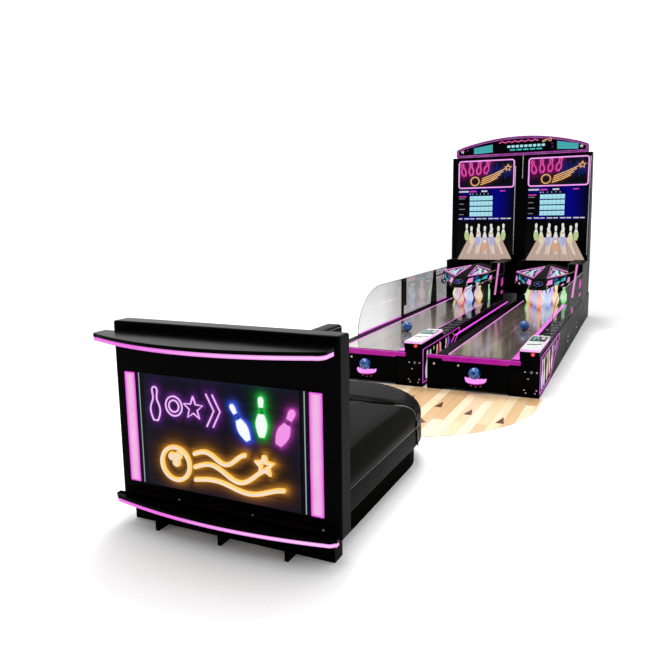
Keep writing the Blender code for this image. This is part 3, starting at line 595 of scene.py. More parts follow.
def tubes(name, paths, radius, mat, body=ROOT, cyclic=False, resolution=3):
    """Round tubes as a piece."""
    mesh = curve_mesh(name, paths, radius, resolution, cyclic)
    bm = bmesh.new()
    bm.from_mesh(mesh)
    bmesh.ops.remove_doubles(bm, verts=bm.verts, dist=0.00002)
    bmesh.ops.recalc_face_normals(bm, faces=bm.faces)
    bm.to_mesh(mesh)
    bm.free()
    mesh.materials.clear()
    mesh.materials.append(mat)
    mesh.shade_smooth()
    obj = bpy.data.objects.new(name, mesh)
    bpy.context.scene.collection.objects.link(obj)
    return own(obj, body)


def drawn(sheet, outline, out):
    """An outline of a sheet as 3-D points above it."""
    return [sheet.at(u, v, out) for u, v in outline]


def turned(bm, profile, centre, steps=32, axis="Z", arc=360.0):
    """A solid turned from (radius, height) points about an axis through a centre."""
    rings = []
    closed = arc >= 360.0
    count = steps if closed else steps + 1
    basis = {"Z": Matrix.Identity(3), "Y": Matrix.Rotation(pi / 2, 3, "X"),
             "X": Matrix.Rotation(pi / 2, 3, "Y")}[axis]
    for radius, height in profile:
        if radius < 1e-6:
            rings.append([bm.verts.new(Vector(centre) + basis @ Vector((0, 0, height)))])
            continue
        ring = []
        for i in range(count):
            angle = radians(arc) * i / steps
            ring.append(bm.verts.new(Vector(centre)
                                     + basis @ Vector((radius * cos(angle), radius * sin(angle), height))))
        rings.append(ring)
    for lower, upper in zip(rings, rings[1:]):
        for i in range(steps):
            j = (i + 1) % steps if closed else i + 1
            quad = [lower[i % len(lower)], lower[j % len(lower)], upper[j % len(upper)], upper[i % len(upper)]]
            unique = list(dict.fromkeys(quad))
            if len(unique) >= 3:
                bm.faces.new(unique)
    for ring, flip in ((rings[0], True), (rings[-1], False)):
        if len(ring) > 1:
            bm.faces.new(list(reversed(ring)) if flip else ring)


def paint(node, mat):
    """Give a CAD node a better material."""
    mesh = NODES[node].data
    mesh.materials.clear()
    mesh.materials.append(mat)


def trimmed(bm, point, normal):
    """Cut everything beyond a plane away and close the cut."""
    geom = bm.verts[:] + bm.edges[:] + bm.faces[:]
    made = bmesh.ops.bisect_plane(bm, geom=geom, plane_co=point, plane_no=normal, clear_outer=True)
    edges = [item for item in made["geom_cut"] if isinstance(item, bmesh.types.BMEdge)]
    bmesh.ops.contextual_create(bm, geom=edges)


def plate_with_hole(bm, sheet, frame_uv, centre, radius, low, high, steps=48):
    """A flat plate with a round hole, made of a ring of quads."""
    u0, v0, u1, v1 = frame_uv
    angles = {2 * pi * i / steps for i in range(steps)}
    from_centre = [(u - centre[0], v - centre[1]) for u, v in rectangle(u0, v0, u1, v1)]
    inner, outer = [], []
    corner_angles = [Vector(c).angle_signed(Vector((1, 0))) % (2 * pi) for c in from_centre]
    for angle in sorted(angles | set(corner_angles)):
        c, s = cos(angle), sin(angle)
        reach_u = ((u1 if c > 0 else u0) - centre[0]) / c if abs(c) > 1e-9 else 1e9
        reach_v = ((v1 if s > 0 else v0) - centre[1]) / s if abs(s) > 1e-9 else 1e9
        reach = min(reach_u, reach_v)
        inner.append((centre[0] + radius * c, centre[1] + radius * s))
        outer.append((centre[0] + reach * c, centre[1] + reach * s))
    rings = [[bm.verts.new(sheet.at(u, v, out)) for u, v in line]
             for line, out in ((inner, low), (outer, low), (outer, high), (inner, high))]
    count = len(inner)
    for a, b in zip(rings, rings[1:] + rings[:1]):
        for i in range(count):
            j = (i + 1) % count
            bm.faces.new((a[i], a[j], b[j], b[i]))


# ---------------------------------------------------------------- lane cabinets
POST_RIGHT, BLOCK_LEFT, BUMPER_RIGHT = -0.3905, 0.2625, 0.3695
STRIP = (0.2850, 0.3575)
CONTROL = (0.3575, 0.5395, 0.800)
CUP_A = -0.0535
PORT_Z = 0.209


def spot(cx, a, y, z):
    """A point given from a lane's centre line, its front plane and the floor."""
    return Vector((cx + a, FRONT + y, z))


def face_sheet(cx, y):
    """A sheet that faces the player at a depth behind the front plane."""
    return Sheet((cx, FRONT + y, 0.0), (1, 0, 0), (0, 0, 1))


def top_sheet(cx, z):
    """A sheet that faces up."""
    return Sheet((cx, FRONT, z), (1, 0, 0), (0, 1, 0))


def bolt_heads(name, places, radius, mat, body=ROOT):
    """Domed bolt heads on faces towards the player: (x, y, z) points of the face."""
    dome = [(radius, 0.0), (radius, 0.0012), (radius * 0.86, 0.0030), (radius * 0.5, 0.0042), (0.0, 0.0046)]
    mesh_piece(name, lambda bm: [turned(bm, dome, p, 16, "Y") for p in places], mat, body)


def lane_front(side, cx):
    """Fascia, bumper, ball port, cup, service door and fixings at the player's end."""
    face = face_sheet(cx, 0.004)
    port = (CUP_A, PORT_Z)
    plate_low, plate_high = (POST_RIGHT + 0.0005, 0.0305), (BLOCK_LEFT - 0.0005, 0.3003)
    plate = mesh_piece("fascia_" + side, lambda bm: plate_with_hole(
        bm, face, (*plate_low, *plate_high), port, 0.0722, -0.0115, 0.0), BLACK, smooth=False)
    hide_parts("front_panel_" + side)
    outline = [(-0.5475, 0.3225), (-0.3920, 0.3225), (-0.3860, 0.3005), (0.2610, 0.3005), (0.2660, 0.3120),
               (BUMPER_RIGHT, 0.3120), (BUMPER_RIGHT, 0.3500), (BUMPER_RIGHT - 0.005, 0.3548), (-0.5425, 0.3548),
               (-0.5475, 0.3500)]
    front = face_sheet(cx, -0.0118)
    bumper = prints("bumper_" + side, front, [outline], BUMPER, 0.0, 0.0272)
    soften(bumper, 0.0022)
    # Painted highlight: a hot-pink lit strip along the top of the bumper's front stands in for the lighter top edge
    # that catches the light.
    lip = [rectangle(-0.5455, 0.3500, BUMPER_RIGHT - 0.003, 0.3532)]
    prints("bumper_painted_highlight_" + side, front, lip, LED_HOT, 0.0004, 0.0010)
    blocks = [(spot(cx, -0.5475, -0.0110, 0.3003), spot(cx, -0.3925, 0.0150, 0.3222)),
              (spot(cx, 0.2665, -0.0110, 0.3003), spot(cx, BUMPER_RIGHT, 0.0150, 0.3117))]
    boxes_piece("bumper_blocks_" + side, blocks, BLACK_METAL, 0.0015)

    rim = [(0.0700, -0.006), (0.0735, -0.010), (0.0780, -0.006), (0.0780, 0.0035), (0.0700, 0.0035)]
    mesh_piece("port_rim_" + side, lambda bm: turned(
        bm, [(r, -h) for r, h in reversed(rim)], spot(cx, CUP_A, 0.0, PORT_Z), 48, "Y"), BLACK_METAL)
    tube = [(0.0720, -0.120), (0.0720, -0.004), (0.0705, -0.004), (0.0705, -0.117), (0.0, -0.117), (0.0, -0.120)]
    mesh_piece("port_tube_" + side, lambda bm: turned(
        bm, tube, spot(cx, CUP_A, 0.0, PORT_Z), 40, "Y"), BLACK_METAL)

    bowl = [(0.0, 0.094), (0.050, 0.0945), (0.078, 0.101), (0.097, 0.117), (0.1050, 0.136), (0.1058, 0.148),
            (0.1030, 0.1545), (0.0985, 0.1530), (0.0965, 0.147), (0.085, 0.1455), (0.0, 0.1450)]
    centre = spot(cx, CUP_A, 0.0, 0.0)

    def half_bowl(bm):
        turned(bm, bowl, centre, 56)
        trimmed(bm, (0, FRONT + 0.0037, 0), (0, 1, 0))
    cup = mesh_piece("ball_cup_shell_" + side, half_bowl, CUP_GLOW)
    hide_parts("ball_cup_" + side)

    # Painted shade: the cup's underside is a shell in the darker magenta bumper glow, standing in for the shade under
    # the lit cup.
    def under_shade(bm):
        turned(bm, [(0.0, 0.0932), (0.050, 0.0937), (0.0785, 0.1003), (0.0955, 0.1140), (0.0935, 0.1150), (0.0, 0.099)],
               centre, 48)
        trimmed(bm, (0, FRONT + 0.0037, 0), (0, 1, 0))
    mesh_piece("ball_cup_painted_shade_" + side, under_shade, BUMPER)
    screws = [spot(cx, CUP_A + step, 0.004, 0.068 - 0.006 * (step == 0)) for step in (-0.048, 0.0, 0.048)]
    bolt_heads("cup_screws_" + side, screws, 0.0065, BRASS)

    door_low, door_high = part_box("service_door_" + side)
    door_body = "service_door_" + side
    face_y = FRONT + 0.002
    leaf = box_piece("door_leaf_" + side, (door_low.x, face_y, door_low.z), (door_high.x, face_y + 0.0133, door_high.z),
                     BLACK_METAL, 0.003, 2, door_body)
    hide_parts("service_door_" + side)
    lock_at = spot(cx, 0.4725, 0.002, 0.254)
    barrel = [(0.0150, 0.0), (0.0150, 0.0040), (0.0138, 0.0062), (0.0085, 0.0066), (0.0080, 0.0050), (0.0, 0.0050)]
    mesh_piece("door_lock_" + side, lambda bm: turned(bm, barrel, lock_at, 28, "Y"), DARK_STEEL, door_body)
    # Painted shade: the keyhole is a thin black slab on the lock face, standing in for the dark inside of the slot.
    slot_at = lock_at + Vector((0, -0.0054, 0))
    box_piece("door_keyhole_" + side, slot_at - Vector((0.0009, 0.0004, 0.0055)),
              slot_at + Vector((0.0009, 0.0004, 0.0055)), BLACK, 0.0, body=door_body)
    door_bolts = [(0.5220, 0.254), (0.4135, 0.254), (0.4435, 0.188), (0.4095, 0.077), (0.4245, 0.050),
                  (0.5220, 0.080), (0.5105, 0.050)]
    bolt_heads("door_bolts_" + side, [spot(cx, a, 0.002, z) for a, z in door_bolts], 0.0085, STEEL, door_body)
    bolt_heads("fascia_bolt_" + side, [spot(cx, -0.2315, 0.004, 0.260)], 0.0120, STEEL)
    bolt_heads("post_bolt_" + side, [spot(cx, -0.4765, 0.0, 0.261)], 0.0120, STEEL)


def soften(obj, width, segments=2):
    """Round the sharp edges with a Bevel modifier."""
    step = obj.modifiers.new("soften", "BEVEL")
    step.width = width
    step.segments = segments
    step.limit_method = "ANGLE"
    step.angle_limit = radians(35)
    return obj


def controls(side, cx):
    """Housing, lit rim, pale plate and display of the player's controls."""
    left, right, length = CONTROL
    base = 0.4003
    housing = mesh_piece("control_housing_" + side, lambda bm: control_shell(bm, cx, base), BLACK,
                         smooth=False)
    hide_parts("control_box_" + side)
    rim = prints("control_rim_" + side, top_sheet(cx, 0.4490),
                 [rectangle(left, 0.0003, right, length, 0.012, 5)], LED_EDGE, 0.0195, 0.0195)
    soften(rim, 0.0012)
    plate = prints("control_plate_" + side, top_sheet(cx, 0.4685),
                   [rectangle(left + 0.007, 0.007, right - 0.007, length - 0.006, 0.010, 5)], WHITE_PLASTIC,
                   0.0030, 0.0030)
    soften(plate, 0.0010)
    top = top_sheet(cx, 0.4715)
    wave = [(0.385, 0.235), (0.425, 0.262), (0.455, 0.245), (0.515, 0.300), (0.515, 0.345), (0.455, 0.290),
            (0.425, 0.307), (0.385, 0.280)]
    screen = rectangle(left + 0.014, 0.455, right - 0.014, 0.735, 0.008)
    prints("control_dark_" + side, top, [wave, screen], SCREEN_BLACK, 0.0004, 0.0003)
    bars = [rectangle(0.392, 0.520, 0.418, 0.690), rectangle(0.450, 0.500, 0.462, 0.560)]
    prints("control_lines_" + side, top, bars, INK_CYAN, 0.0006, 0.0002)
    pale = [rectangle(0.470, 0.585, 0.505, 0.700), [(0.425, 0.600), (0.450, 0.640), (0.425, 0.690)]]
    prints("control_marks_" + side, top, pale, INK_WHITE, 0.0006, 0.0002)

    body = "start_button_" + side
    low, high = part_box("start_button_" + side)
    middle = (low + high) / 2
    here = Vector((middle.x, FRONT, middle.z))
    cap = [(0.0178, -0.0178), (0.0178, 0.0060), (0.0166, 0.0086), (0.0125, 0.0098), (0.0, 0.0094)]
    button = mesh_piece("button_cap_" + side, lambda bm: turned(bm, cap, here, 36, "Y"), BUTTON_RED, body)
    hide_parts("start_button_" + side)
    ring = [(0.0188, -0.004), (0.0188, 0.0030), (0.0205, 0.0042), (0.0235, 0.0030), (0.0240, 0.0), (0.0240, -0.001)]
    mesh_piece("button_ring_" + side, lambda bm: turned(bm, ring[::-1], here, 36, "Y"), BLACK_METAL)


def control_shell(bm, cx, base):
    """Control housing: a front plate bored for the button, and a body behind it."""
    left, right, length = CONTROL
    plate_with_hole(bm, face_sheet(cx, 0.0), (left, base, right, 0.4490), (0.4805, 0.427), 0.0187, -0.030, 0.0)
    add_box(bm, spot(cx, left, 0.0300, base), spot(cx, right, length, 0.4490), 0.001, 1)


def ledge_prints(side, cx):
    """Printed shapes on the right ledge and a lit picture on the cabinet's outer side."""
    top = top_sheet(cx, LEDGE_TOP)
    zigzag, flecks, limes = [], [], []
    for i in range(7):
        y = 0.90 + i * 0.20
        zigzag.append([(0.395, y), (0.430, y + 0.020), (0.520, y + 0.120), (0.480, y + 0.105)])
        flecks.append([(0.450, y + 0.02), (0.525, y + 0.030), (0.500, y + 0.060)])
        if i % 2:
            limes.append([(0.385, y + 0.10), (0.415, y + 0.095), (0.400, y + 0.150)])
    prints("ledge_gloss_" + side, top, [rectangle(0.3600, 1.900, 0.5450, 4.190)], GLOSS_BLACK, LIFT * 0.6)
    prints("ledge_zigzag_" + side, top, zigzag, INK_GREY)
    prints("ledge_flecks_" + side, top, flecks, INK_PURPLE)
    prints("ledge_limes_" + side, top, limes, INK_LIME)
    wall = Sheet((cx + 0.5475, FRONT, 0.0), (0, 1, 0), (0, 0, 1))
    outer = [(0.030, 0.040), (0.780, 0.040), (1.480, 0.345), (1.480, 0.390), (0.030, 0.390)]
    tubes("side_outline_" + side, [drawn(wall, outer, 0.0012)], 0.0045, LED_HOT, cyclic=True, resolution=1)
    ghosts = [pin_outline(0.16, 0.060, 0.300, 6), pin_outline(0.33, 0.060, 0.290, -8),
              pin_outline(0.86, 0.110, 0.255, 10)]
    prints("side_pins_" + side, wall, ghosts, INK_WHITE)
    prints("side_pins_amber_" + side, wall, [pin_outline(0.50, 0.070, 0.290, 10), pin_outline(0.72, 0.09, 0.27, -12)],
           INK_AMBER)
    stripes = [[(0.56, 0.10), (0.60, 0.10), (0.66, 0.37), (0.62, 0.37)],
               [(0.93, 0.17), (0.97, 0.19), (1.02, 0.37), (0.98, 0.37)],
               [(1.12, 0.25), (1.30, 0.32), (1.30, 0.345), (1.12, 0.285)]]
    prints("side_stripes_" + side, wall, stripes, INK_PINK)
    prints("side_balls_" + side, wall, [circle(0.245, 0.095, 0.042), circle(1.02, 0.30, 0.040)], INK_BLUE)
    prints("side_limes_" + side, wall, [star(0.42, 0.335, 0.030), star(1.20, 0.355, 0.020)], INK_LIME)
    side_bolts = [(2.46, 0.19), (2.43, 0.13), (3.60, 0.19), (3.57, 0.13)]
    dome = [(0.0125, 0.0), (0.0125, 0.0012), (0.0105, 0.0032), (0.006, 0.0044), (0.0, 0.0048)]
    mesh_piece("side_bolts_" + side, lambda bm: [turned(bm, dome, spot(cx, 0.5475, y, z), 16, "X")
                                                 for y, z in side_bolts], STEEL)


def lane_lights(side, cx):
    """Lit lines along both edges of the deck."""
    thin = [(spot(cx, -0.3395, 0.030, DECK_TOP), spot(cx, -0.3315, 4.480, DECK_TOP + 0.005))]
    boxes_piece("deck_line_left_" + side, thin, LED_PINK, 0.001, 1)
    flat = [(spot(cx, STRIP[0], 0.030, DECK_TOP), spot(cx, STRIP[1] - 0.001, 4.190, DECK_TOP + 0.004))]
    boxes_piece("deck_strip_right_" + side, flat, LED_STRIP, 0.001, 1)


def pins(side):
    """Ten lit pins, each on its own lift."""
    for number in range(1, 11):
        node = f"pin_{side}_{number:02d}"
        low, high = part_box(node)
        middle = Vector(((low.x + high.x) / 2, (low.y + high.y) / 2, low.z))
        tall = high.z - low.z
        profile = [(0.0, 0.0)] + [(r * tall, h * tall) for h, r in smooth_profile(PIN_SHAPE)]
        pin = mesh_piece("lit_" + node, lambda bm: turned(bm, profile, middle, 32), PIN_LOOKS[number - 1], node)
        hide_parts(node)


def smooth_profile(points, steps=4):
    """A Catmull-Rom curve through (height, radius) points."""
    full = [points[0]] + list(points) + [points[-1]]
    out = []
    for a, b, c, d in zip(full, full[1:], full[2:], full[3:]):
        for i in range(steps):
            t = i / steps
            out.append(tuple(0.5 * (2 * q + (r - p) * t + (2 * p - 5 * q + 4 * r - s) * t * t
                                    + (3 * q - p - 3 * r + s) * t * t * t) for p, q, r, s in zip(a, b, c, d)))
    out.append(points[-1])
    return [(h, max(r, 0.0)) for h, r in out]


def balls(side):
    """Polished marbled balls."""
    for kind in ("return_ball_", "play_ball_"):
        node = kind + side
        low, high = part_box(node)
        middle, radius = (low + high) / 2, (high.z - low.z) / 2
        arc = [(radius * sin(pi * i / 32), -radius * cos(pi * i / 32)) for i in range(33)]
        arc[0], arc[-1] = (0.0, -radius), (0.0, radius)
        orb = mesh_piece("marbled_" + node, lambda bm: turned(bm, arc, middle, 48), MARBLE, node)
        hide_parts(node)


# ---------------------------------------------------------------- pin hoods and towers
NOSE = 0.020


def hood_sheet(a, b, c):
    """A sheet through three points, its normal up or towards the player."""
    normal = (b - a).cross(c - a)
    sheet = Sheet(a, b - a, c - a)
    if normal.z < 0:
        sheet = Sheet(b, a - b, c - a)
    return sheet


def between(a, b, t):
    """A point part of the way from one to another."""
    return a + (b - a) * t


def hood_trim(side, cx):
    """Lit facets, emblem, confetti fascia and cheek stripes on the faceted hood."""
    nose_l, nose_r = spot(cx, NOSE - 0.085, 3.620, 0.800), spot(cx, NOSE + 0.085, 3.620, 0.800)
    side_l, side_r = spot(cx, -0.4353, 4.250, 0.835), spot(cx, 0.4000, 4.250, 0.835)
    top_l, top_r = spot(cx, NOSE - 0.035, 4.470, 0.910), spot(cx, NOSE + 0.035, 4.470, 0.910)
    for hand, corners in (("left", (nose_l, side_l, top_l)), ("right", (nose_r, side_r, top_r))):
        facet_art(side, hand, corners)

    def fascia(hand, near_low, near_high, far_low, far_high):
        """Confetti print dropped onto one raked side of the hood."""
        inks = {"pink": INK_ROSE, "cyan": INK_CYAN, "blue": INK_BLUE, "lime": INK_LIME, "white": INK_WHITE}
        groups = {name: [] for name in inks}
        outward = (far_low - near_low).cross(near_high - near_low).normalized()
        outward = outward if outward.y < 0 else -outward

        def at(s, t):
            """A point of the raked side from two fractions."""
            return between(between(near_low, far_low, s), between(near_high, far_high, s), t)
        layout = (("pink", 0.06, 0.34, 0.26, 0.42), ("cyan", 0.32, 0.30, 0.52, 0.20), ("cyan", 0.54, 0.46, 0.74, 0.24),
                  ("pink", 0.80, 0.30, 0.92, 0.40), ("blue", 0.28, 0.62, 0.44, 0.18), ("lime", 0.08, 0.12, 0.13, 0.12),
                  ("white", 0.46, 0.12, 0.52, 0.12), ("pink", 0.60, 0.12, 0.72, 0.14), ("lime", 0.88, 0.12, 0.92, 0.12),
                  ("blue", 0.66, 0.74, 0.78, 0.10))
        for ink, s0, t0, s1, tall in layout:
            middle = (s0 + s1) / 2
            groups[ink].append([at(s0, t0), at(middle, t0 + 0.02), at(s1, t0 + 0.05), at(s1 - 0.02, t0 + 0.05 + tall),
                                at(middle, t0 + tall + 0.02), at(s0 + 0.02, t0 + tall)])
        for name, shapes in groups.items():
            draped(f"hood_{name}_{side}_{hand}", "pit_hood_" + side, shapes, outward, inks[name])
        bar = [[at(s, 0.93) for s in (0.03, 0.35, 0.68, 0.97)] + [at(s, 0.97) for s in (0.97, 0.68, 0.35, 0.03)]]
        draped(f"hood_lip_{side}_{hand}", "pit_hood_" + side, bar, outward, INK_BROWN)

    low_l, low_r = spot(cx, NOSE - 0.085, 3.340, 0.660), spot(cx, NOSE + 0.085, 3.340, 0.660)
    side_low_l, side_low_r = spot(cx, -0.4353, 4.100, 0.655), spot(cx, 0.4000, 4.100, 0.655)
    fascia("left", low_l, nose_l, side_low_l, side_l)
    fascia("right", low_r, nose_r, side_low_r, side_r)

    nose = Sheet(low_l, low_r - low_l, nose_l - low_l)
    width, tall = 0.170, (nose_l - low_l).length
    disc = prints("emblem_disc_" + side, nose, [circle(width / 2, tall * 0.46, 0.072, 40)], BLACK, 0.012, 0.0125)
    soften(disc, 0.003)
    tubes("emblem_ring_" + side, [drawn(nose, circle(width / 2, tall * 0.46, 0.062, 40), 0.0125)], 0.0028,
          DARK_STEEL, cyclic=True, resolution=1)
    prints("emblem_swirl_" + side, nose, [circle(width / 2 - 0.012, tall * 0.46 + 0.010, 0.026, 20),
                                          circle(width / 2 + 0.022, tall * 0.46 - 0.020, 0.016, 16)], INK_BLUE, 0.0135)
    prints("emblem_star_" + side, nose, [star(width / 2 + 0.012, tall * 0.46 + 0.022, 0.015)], INK_PURPLE, 0.0137)

    cheek = face_sheet(cx, 4.200)
    slants = [[(0.400, 0.470), (0.428, 0.470), (0.478, 0.970), (0.450, 0.970)],
              [(0.505, 0.600), (0.535, 0.640), (0.535, 0.760), (0.505, 0.720)],
              [(0.505, 0.480), (0.535, 0.510), (0.535, 0.560), (0.505, 0.530)]]
    prints("cheek_stripes_" + side, cheek, slants[:1], INK_ROSE)
    prints("cheek_flecks_" + side, cheek, slants[1:], INK_PINK)
    rails = [drawn(cheek, [(0.3400, 0.410), (0.3400, 0.978), (0.5450, 0.978), (0.5450, 0.410)], 0.001)]
    tubes("cheek_edge_" + side, rails, 0.0022, DARK_STEEL, resolution=1)


def draped(name, node, shapes, outward, mat):
    """Flat prints dropped onto a frame surface along one direction; a print that misses makes no piece."""
    target = NODES[node]
    back = target.matrix_world.inverted()
    turn = back.to_3x3()
    fallen = []
    for shape in shapes:
        landed = []
        for point in shape:
            hit, where, normal, _ = target.ray_cast(back @ (point + outward * 0.15), (turn @ -outward).normalized())
            if hit:
                landed.append(target.matrix_world @ where + outward * 0.0022)
        if len(landed) > 2:
            fallen.append(landed)
    if not fallen:
        return None

    def build(bm):
        for landed in fallen:
            verts = [bm.verts.new(p) for p in landed]
            centre = bm.verts.new(sum(landed, Vector()) / len(landed))
            for a, b in zip(verts, verts[1:] + verts[:1]):
                bm.faces.new((a, b, centre))
    return mesh_piece(name, build, mat, smooth=False)


def facet_art(side, hand, corners):
    """One sloping three-cornered facet: a framed bright picture of crossing beams with a lit edge."""
    nose, outer, top = corners
    middle = (nose + outer + top) / 3
    sheet = hood_sheet(nose, outer, top)
    flat = []
    for corner in corners:
        offset = between(middle, corner, 0.92) - sheet.origin
        flat.append((offset.dot(sheet.right), offset.dot(sheet.up)))
    prints(f"facet_ground_{side}_{hand}", sheet, [flat], SCREEN_BLACK, 0.0016)
    tubes(f"facet_edge_{side}_{hand}", [drawn(sheet, flat, 0.004)], 0.0075, LED_PINK, cyclic=True, resolution=2)

    def inside(p, q):
        """A point of the facet: p towards its outer corner, q towards its top corner."""
        return tuple(a + (b - a) * p + (c - a) * q for a, b, c in zip(*flat))
    beams = {"white": [], "cyan": [], "pink": [], "blue": []}
    inks = {"white": INK_WHITE, "cyan": CELL_CYAN, "pink": INK_ROSE, "blue": INK_BLUE}
    layout = (("white", (0.10, 0.05), (0.30, 0.05), (0.42, 0.46), (0.30, 0.50)),
              ("cyan", (0.38, 0.05), (0.50, 0.05), (0.30, 0.62), (0.22, 0.62)),
              ("white", (0.58, 0.05), (0.74, 0.05), (0.56, 0.34), (0.48, 0.34)),
              ("pink", (0.06, 0.20), (0.16, 0.26), (0.10, 0.70), (0.05, 0.60)),
              ("white", (0.14, 0.62), (0.24, 0.58), (0.14, 0.80), (0.08, 0.84)),
              ("blue", (0.05, 0.06), (0.09, 0.06), (0.20, 0.56), (0.16, 0.60)))
    for ink, *shape in layout:
        beams[ink].append([inside(p, q) for p, q in shape])
    for number, (ink, outlines) in enumerate(beams.items()):
        prints(f"facet_{ink}_{side}_{hand}", sheet, outlines, inks[ink], 0.0024 + number * 0.0003)


def distance_to(points, path):
    """Distance of many (u, v) points from a drawn line."""
    best = np.full(len(points), 1e9)
    line = np.array(path)
    for a, b in zip(line, line[1:]):
        step = b - a
        along = np.clip(((points - a) @ step) / max(step @ step, 1e-12), 0, 1)
        gap = points - a - along[:, None] * step
        best = np.minimum(best, np.hypot(gap[:, 0], gap[:, 1]))
    return best


def washed_boards(name, sheet, frame_uv, halos, grid):
    """An art sheet: a fine grid that carries the light each neon throws on its boards."""
    u0, v0, u1, v1 = frame_uv
    across, tall = grid
    us, vs = np.linspace(u0, u1, across + 1), np.linspace(v0, v1, tall + 1)
    points = np.array([(u, v) for v in vs for u in us])
    light = np.zeros((len(points), 3))
    for path, near, near_reach, far, far_reach in halos:
        gap = distance_to(points, path)
        close = np.exp(-gap / near_reach)[:, None] * np.array(near)
        wide = np.exp(-gap / far_reach)[:, None] * np.array(far)
        light = np.maximum(light, close + wide)
    rim = np.minimum.reduce([points[:, 0] - u0, u1 - points[:, 0], points[:, 1] - v0, v1 - points[:, 1]])
    light += np.exp(-rim / 0.035)[:, None] * np.array((0.002, 0.005, 0.018)) + np.array((0.0006, 0.0005, 0.0008))
    row = across + 1
    faces = [(r * row + c, r * row + c + 1, (r + 1) * row + c + 1, (r + 1) * row + c)
             for r in range(tall) for c in range(across)]
    mesh = bpy.data.meshes.new(name)
    mesh.from_pydata([sheet.at(u, v, LIFT) for u, v in points], [], faces)
    wash = mesh.color_attributes.new("wash", "FLOAT_COLOR", "POINT")
    wash.data.foreach_set("color", np.hstack([light, np.ones((len(light), 1))]).ravel())
    mesh.materials.append(SIGN_ART)
    obj = bpy.data.objects.new(name, mesh)
    bpy.context.scene.collection.objects.link(obj)
    return own(obj, ROOT)


def screen(side, cx):
    """Everything the portrait screen shows: framed art, score grid, and a lane with ten pins."""
    sheet = face_sheet(cx, 5.100)
    left, right = -0.4400, 0.5100
    frame_line = rectangle(left + 0.018, 2.170, right - 0.018, 2.612, 0.040, 6)
    tubes("screen_frame_" + side, [drawn(sheet, frame_line, 0.003)], 0.0115, LED_PINK, cyclic=True)
    tubes("screen_frame_core_" + side, [drawn(sheet, frame_line, 0.0125)], 0.0035, NEON_LILAC,
          cyclic=True, resolution=1)
    neon_picture(side, sheet, left, right)

    score = [rectangle(left + 0.004, 1.625, right - 0.004, 2.145)]
    prints("score_ground_" + side, sheet, score, SCORE_BLUE)
    dark = [rectangle(left + 0.006, 1.690, left + 0.200, 2.050), rectangle(left + 0.200, 2.052, left + 0.560, 2.085)]
    prints("score_dark_" + side, sheet, dark, SCREEN_BLACK, LIFT * 2)
    cells = []
    for row in range(4):
        for column in range(6):
            u = left + 0.208 + column * 0.0645
            v = 1.962 - row * 0.0885
            cells.append(rectangle(u, v, u + 0.0615, v + 0.070))
    prints("score_cells_" + side, sheet, cells, CELL_CYAN, LIFT * 3)
    lines = [rectangle(left + 0.208, 1.985 - row * 0.0885, left + 0.592, 1.990 - row * 0.0885) for row in range(4)]
    prints("score_lines_" + side, sheet, lines, PALE_LINE, LIFT * 3.6)
    names = [rectangle(left + 0.025, 1.985 - row * 0.0885, left + 0.125 - 0.02 * (row % 2), 2.000 - row * 0.0885)
             for row in range(4)]
    prints("score_names_" + side, sheet, names, INK_GREY, LIFT * 3)
    heads = [rectangle(left + 0.020, 2.098, left + 0.190, 2.124, 0.006),
             rectangle(left + 0.400, 2.098, left + 0.500, 2.124, 0.006),
             rectangle(left + 0.205 + 0.0, 2.060, left + 0.225, 2.074)]
    heads += [rectangle(left + 0.250 + 0.065 * i, 2.060, left + 0.262 + 0.065 * i, 2.074) for i in range(5)]
    prints("score_heads_" + side, sheet, heads, INK_WHITE, LIFT * 3)
    pinks = [rectangle(left + 0.210, 2.098, left + 0.320, 2.122, 0.006),
             rectangle(left + 0.710, 2.100, left + 0.800, 2.118, 0.005),
             rectangle(left + 0.020, 2.018, left + 0.150, 2.036, 0.004)]
    prints("score_pinks_" + side, sheet, pinks, INK_PINK, LIFT * 3)
    foot = []
    for i in range(9):
        u = left + 0.018 + i * 0.102
        foot.append(rectangle(u, 1.645, u + 0.070 + 0.018 * (i % 2), 1.664, 0.004))
    prints("score_foot_" + side, sheet, foot, INK_WHITE, LIFT * 3)

    middle = (left + right) / 2
    lane_picture(side, sheet, middle, left, right)


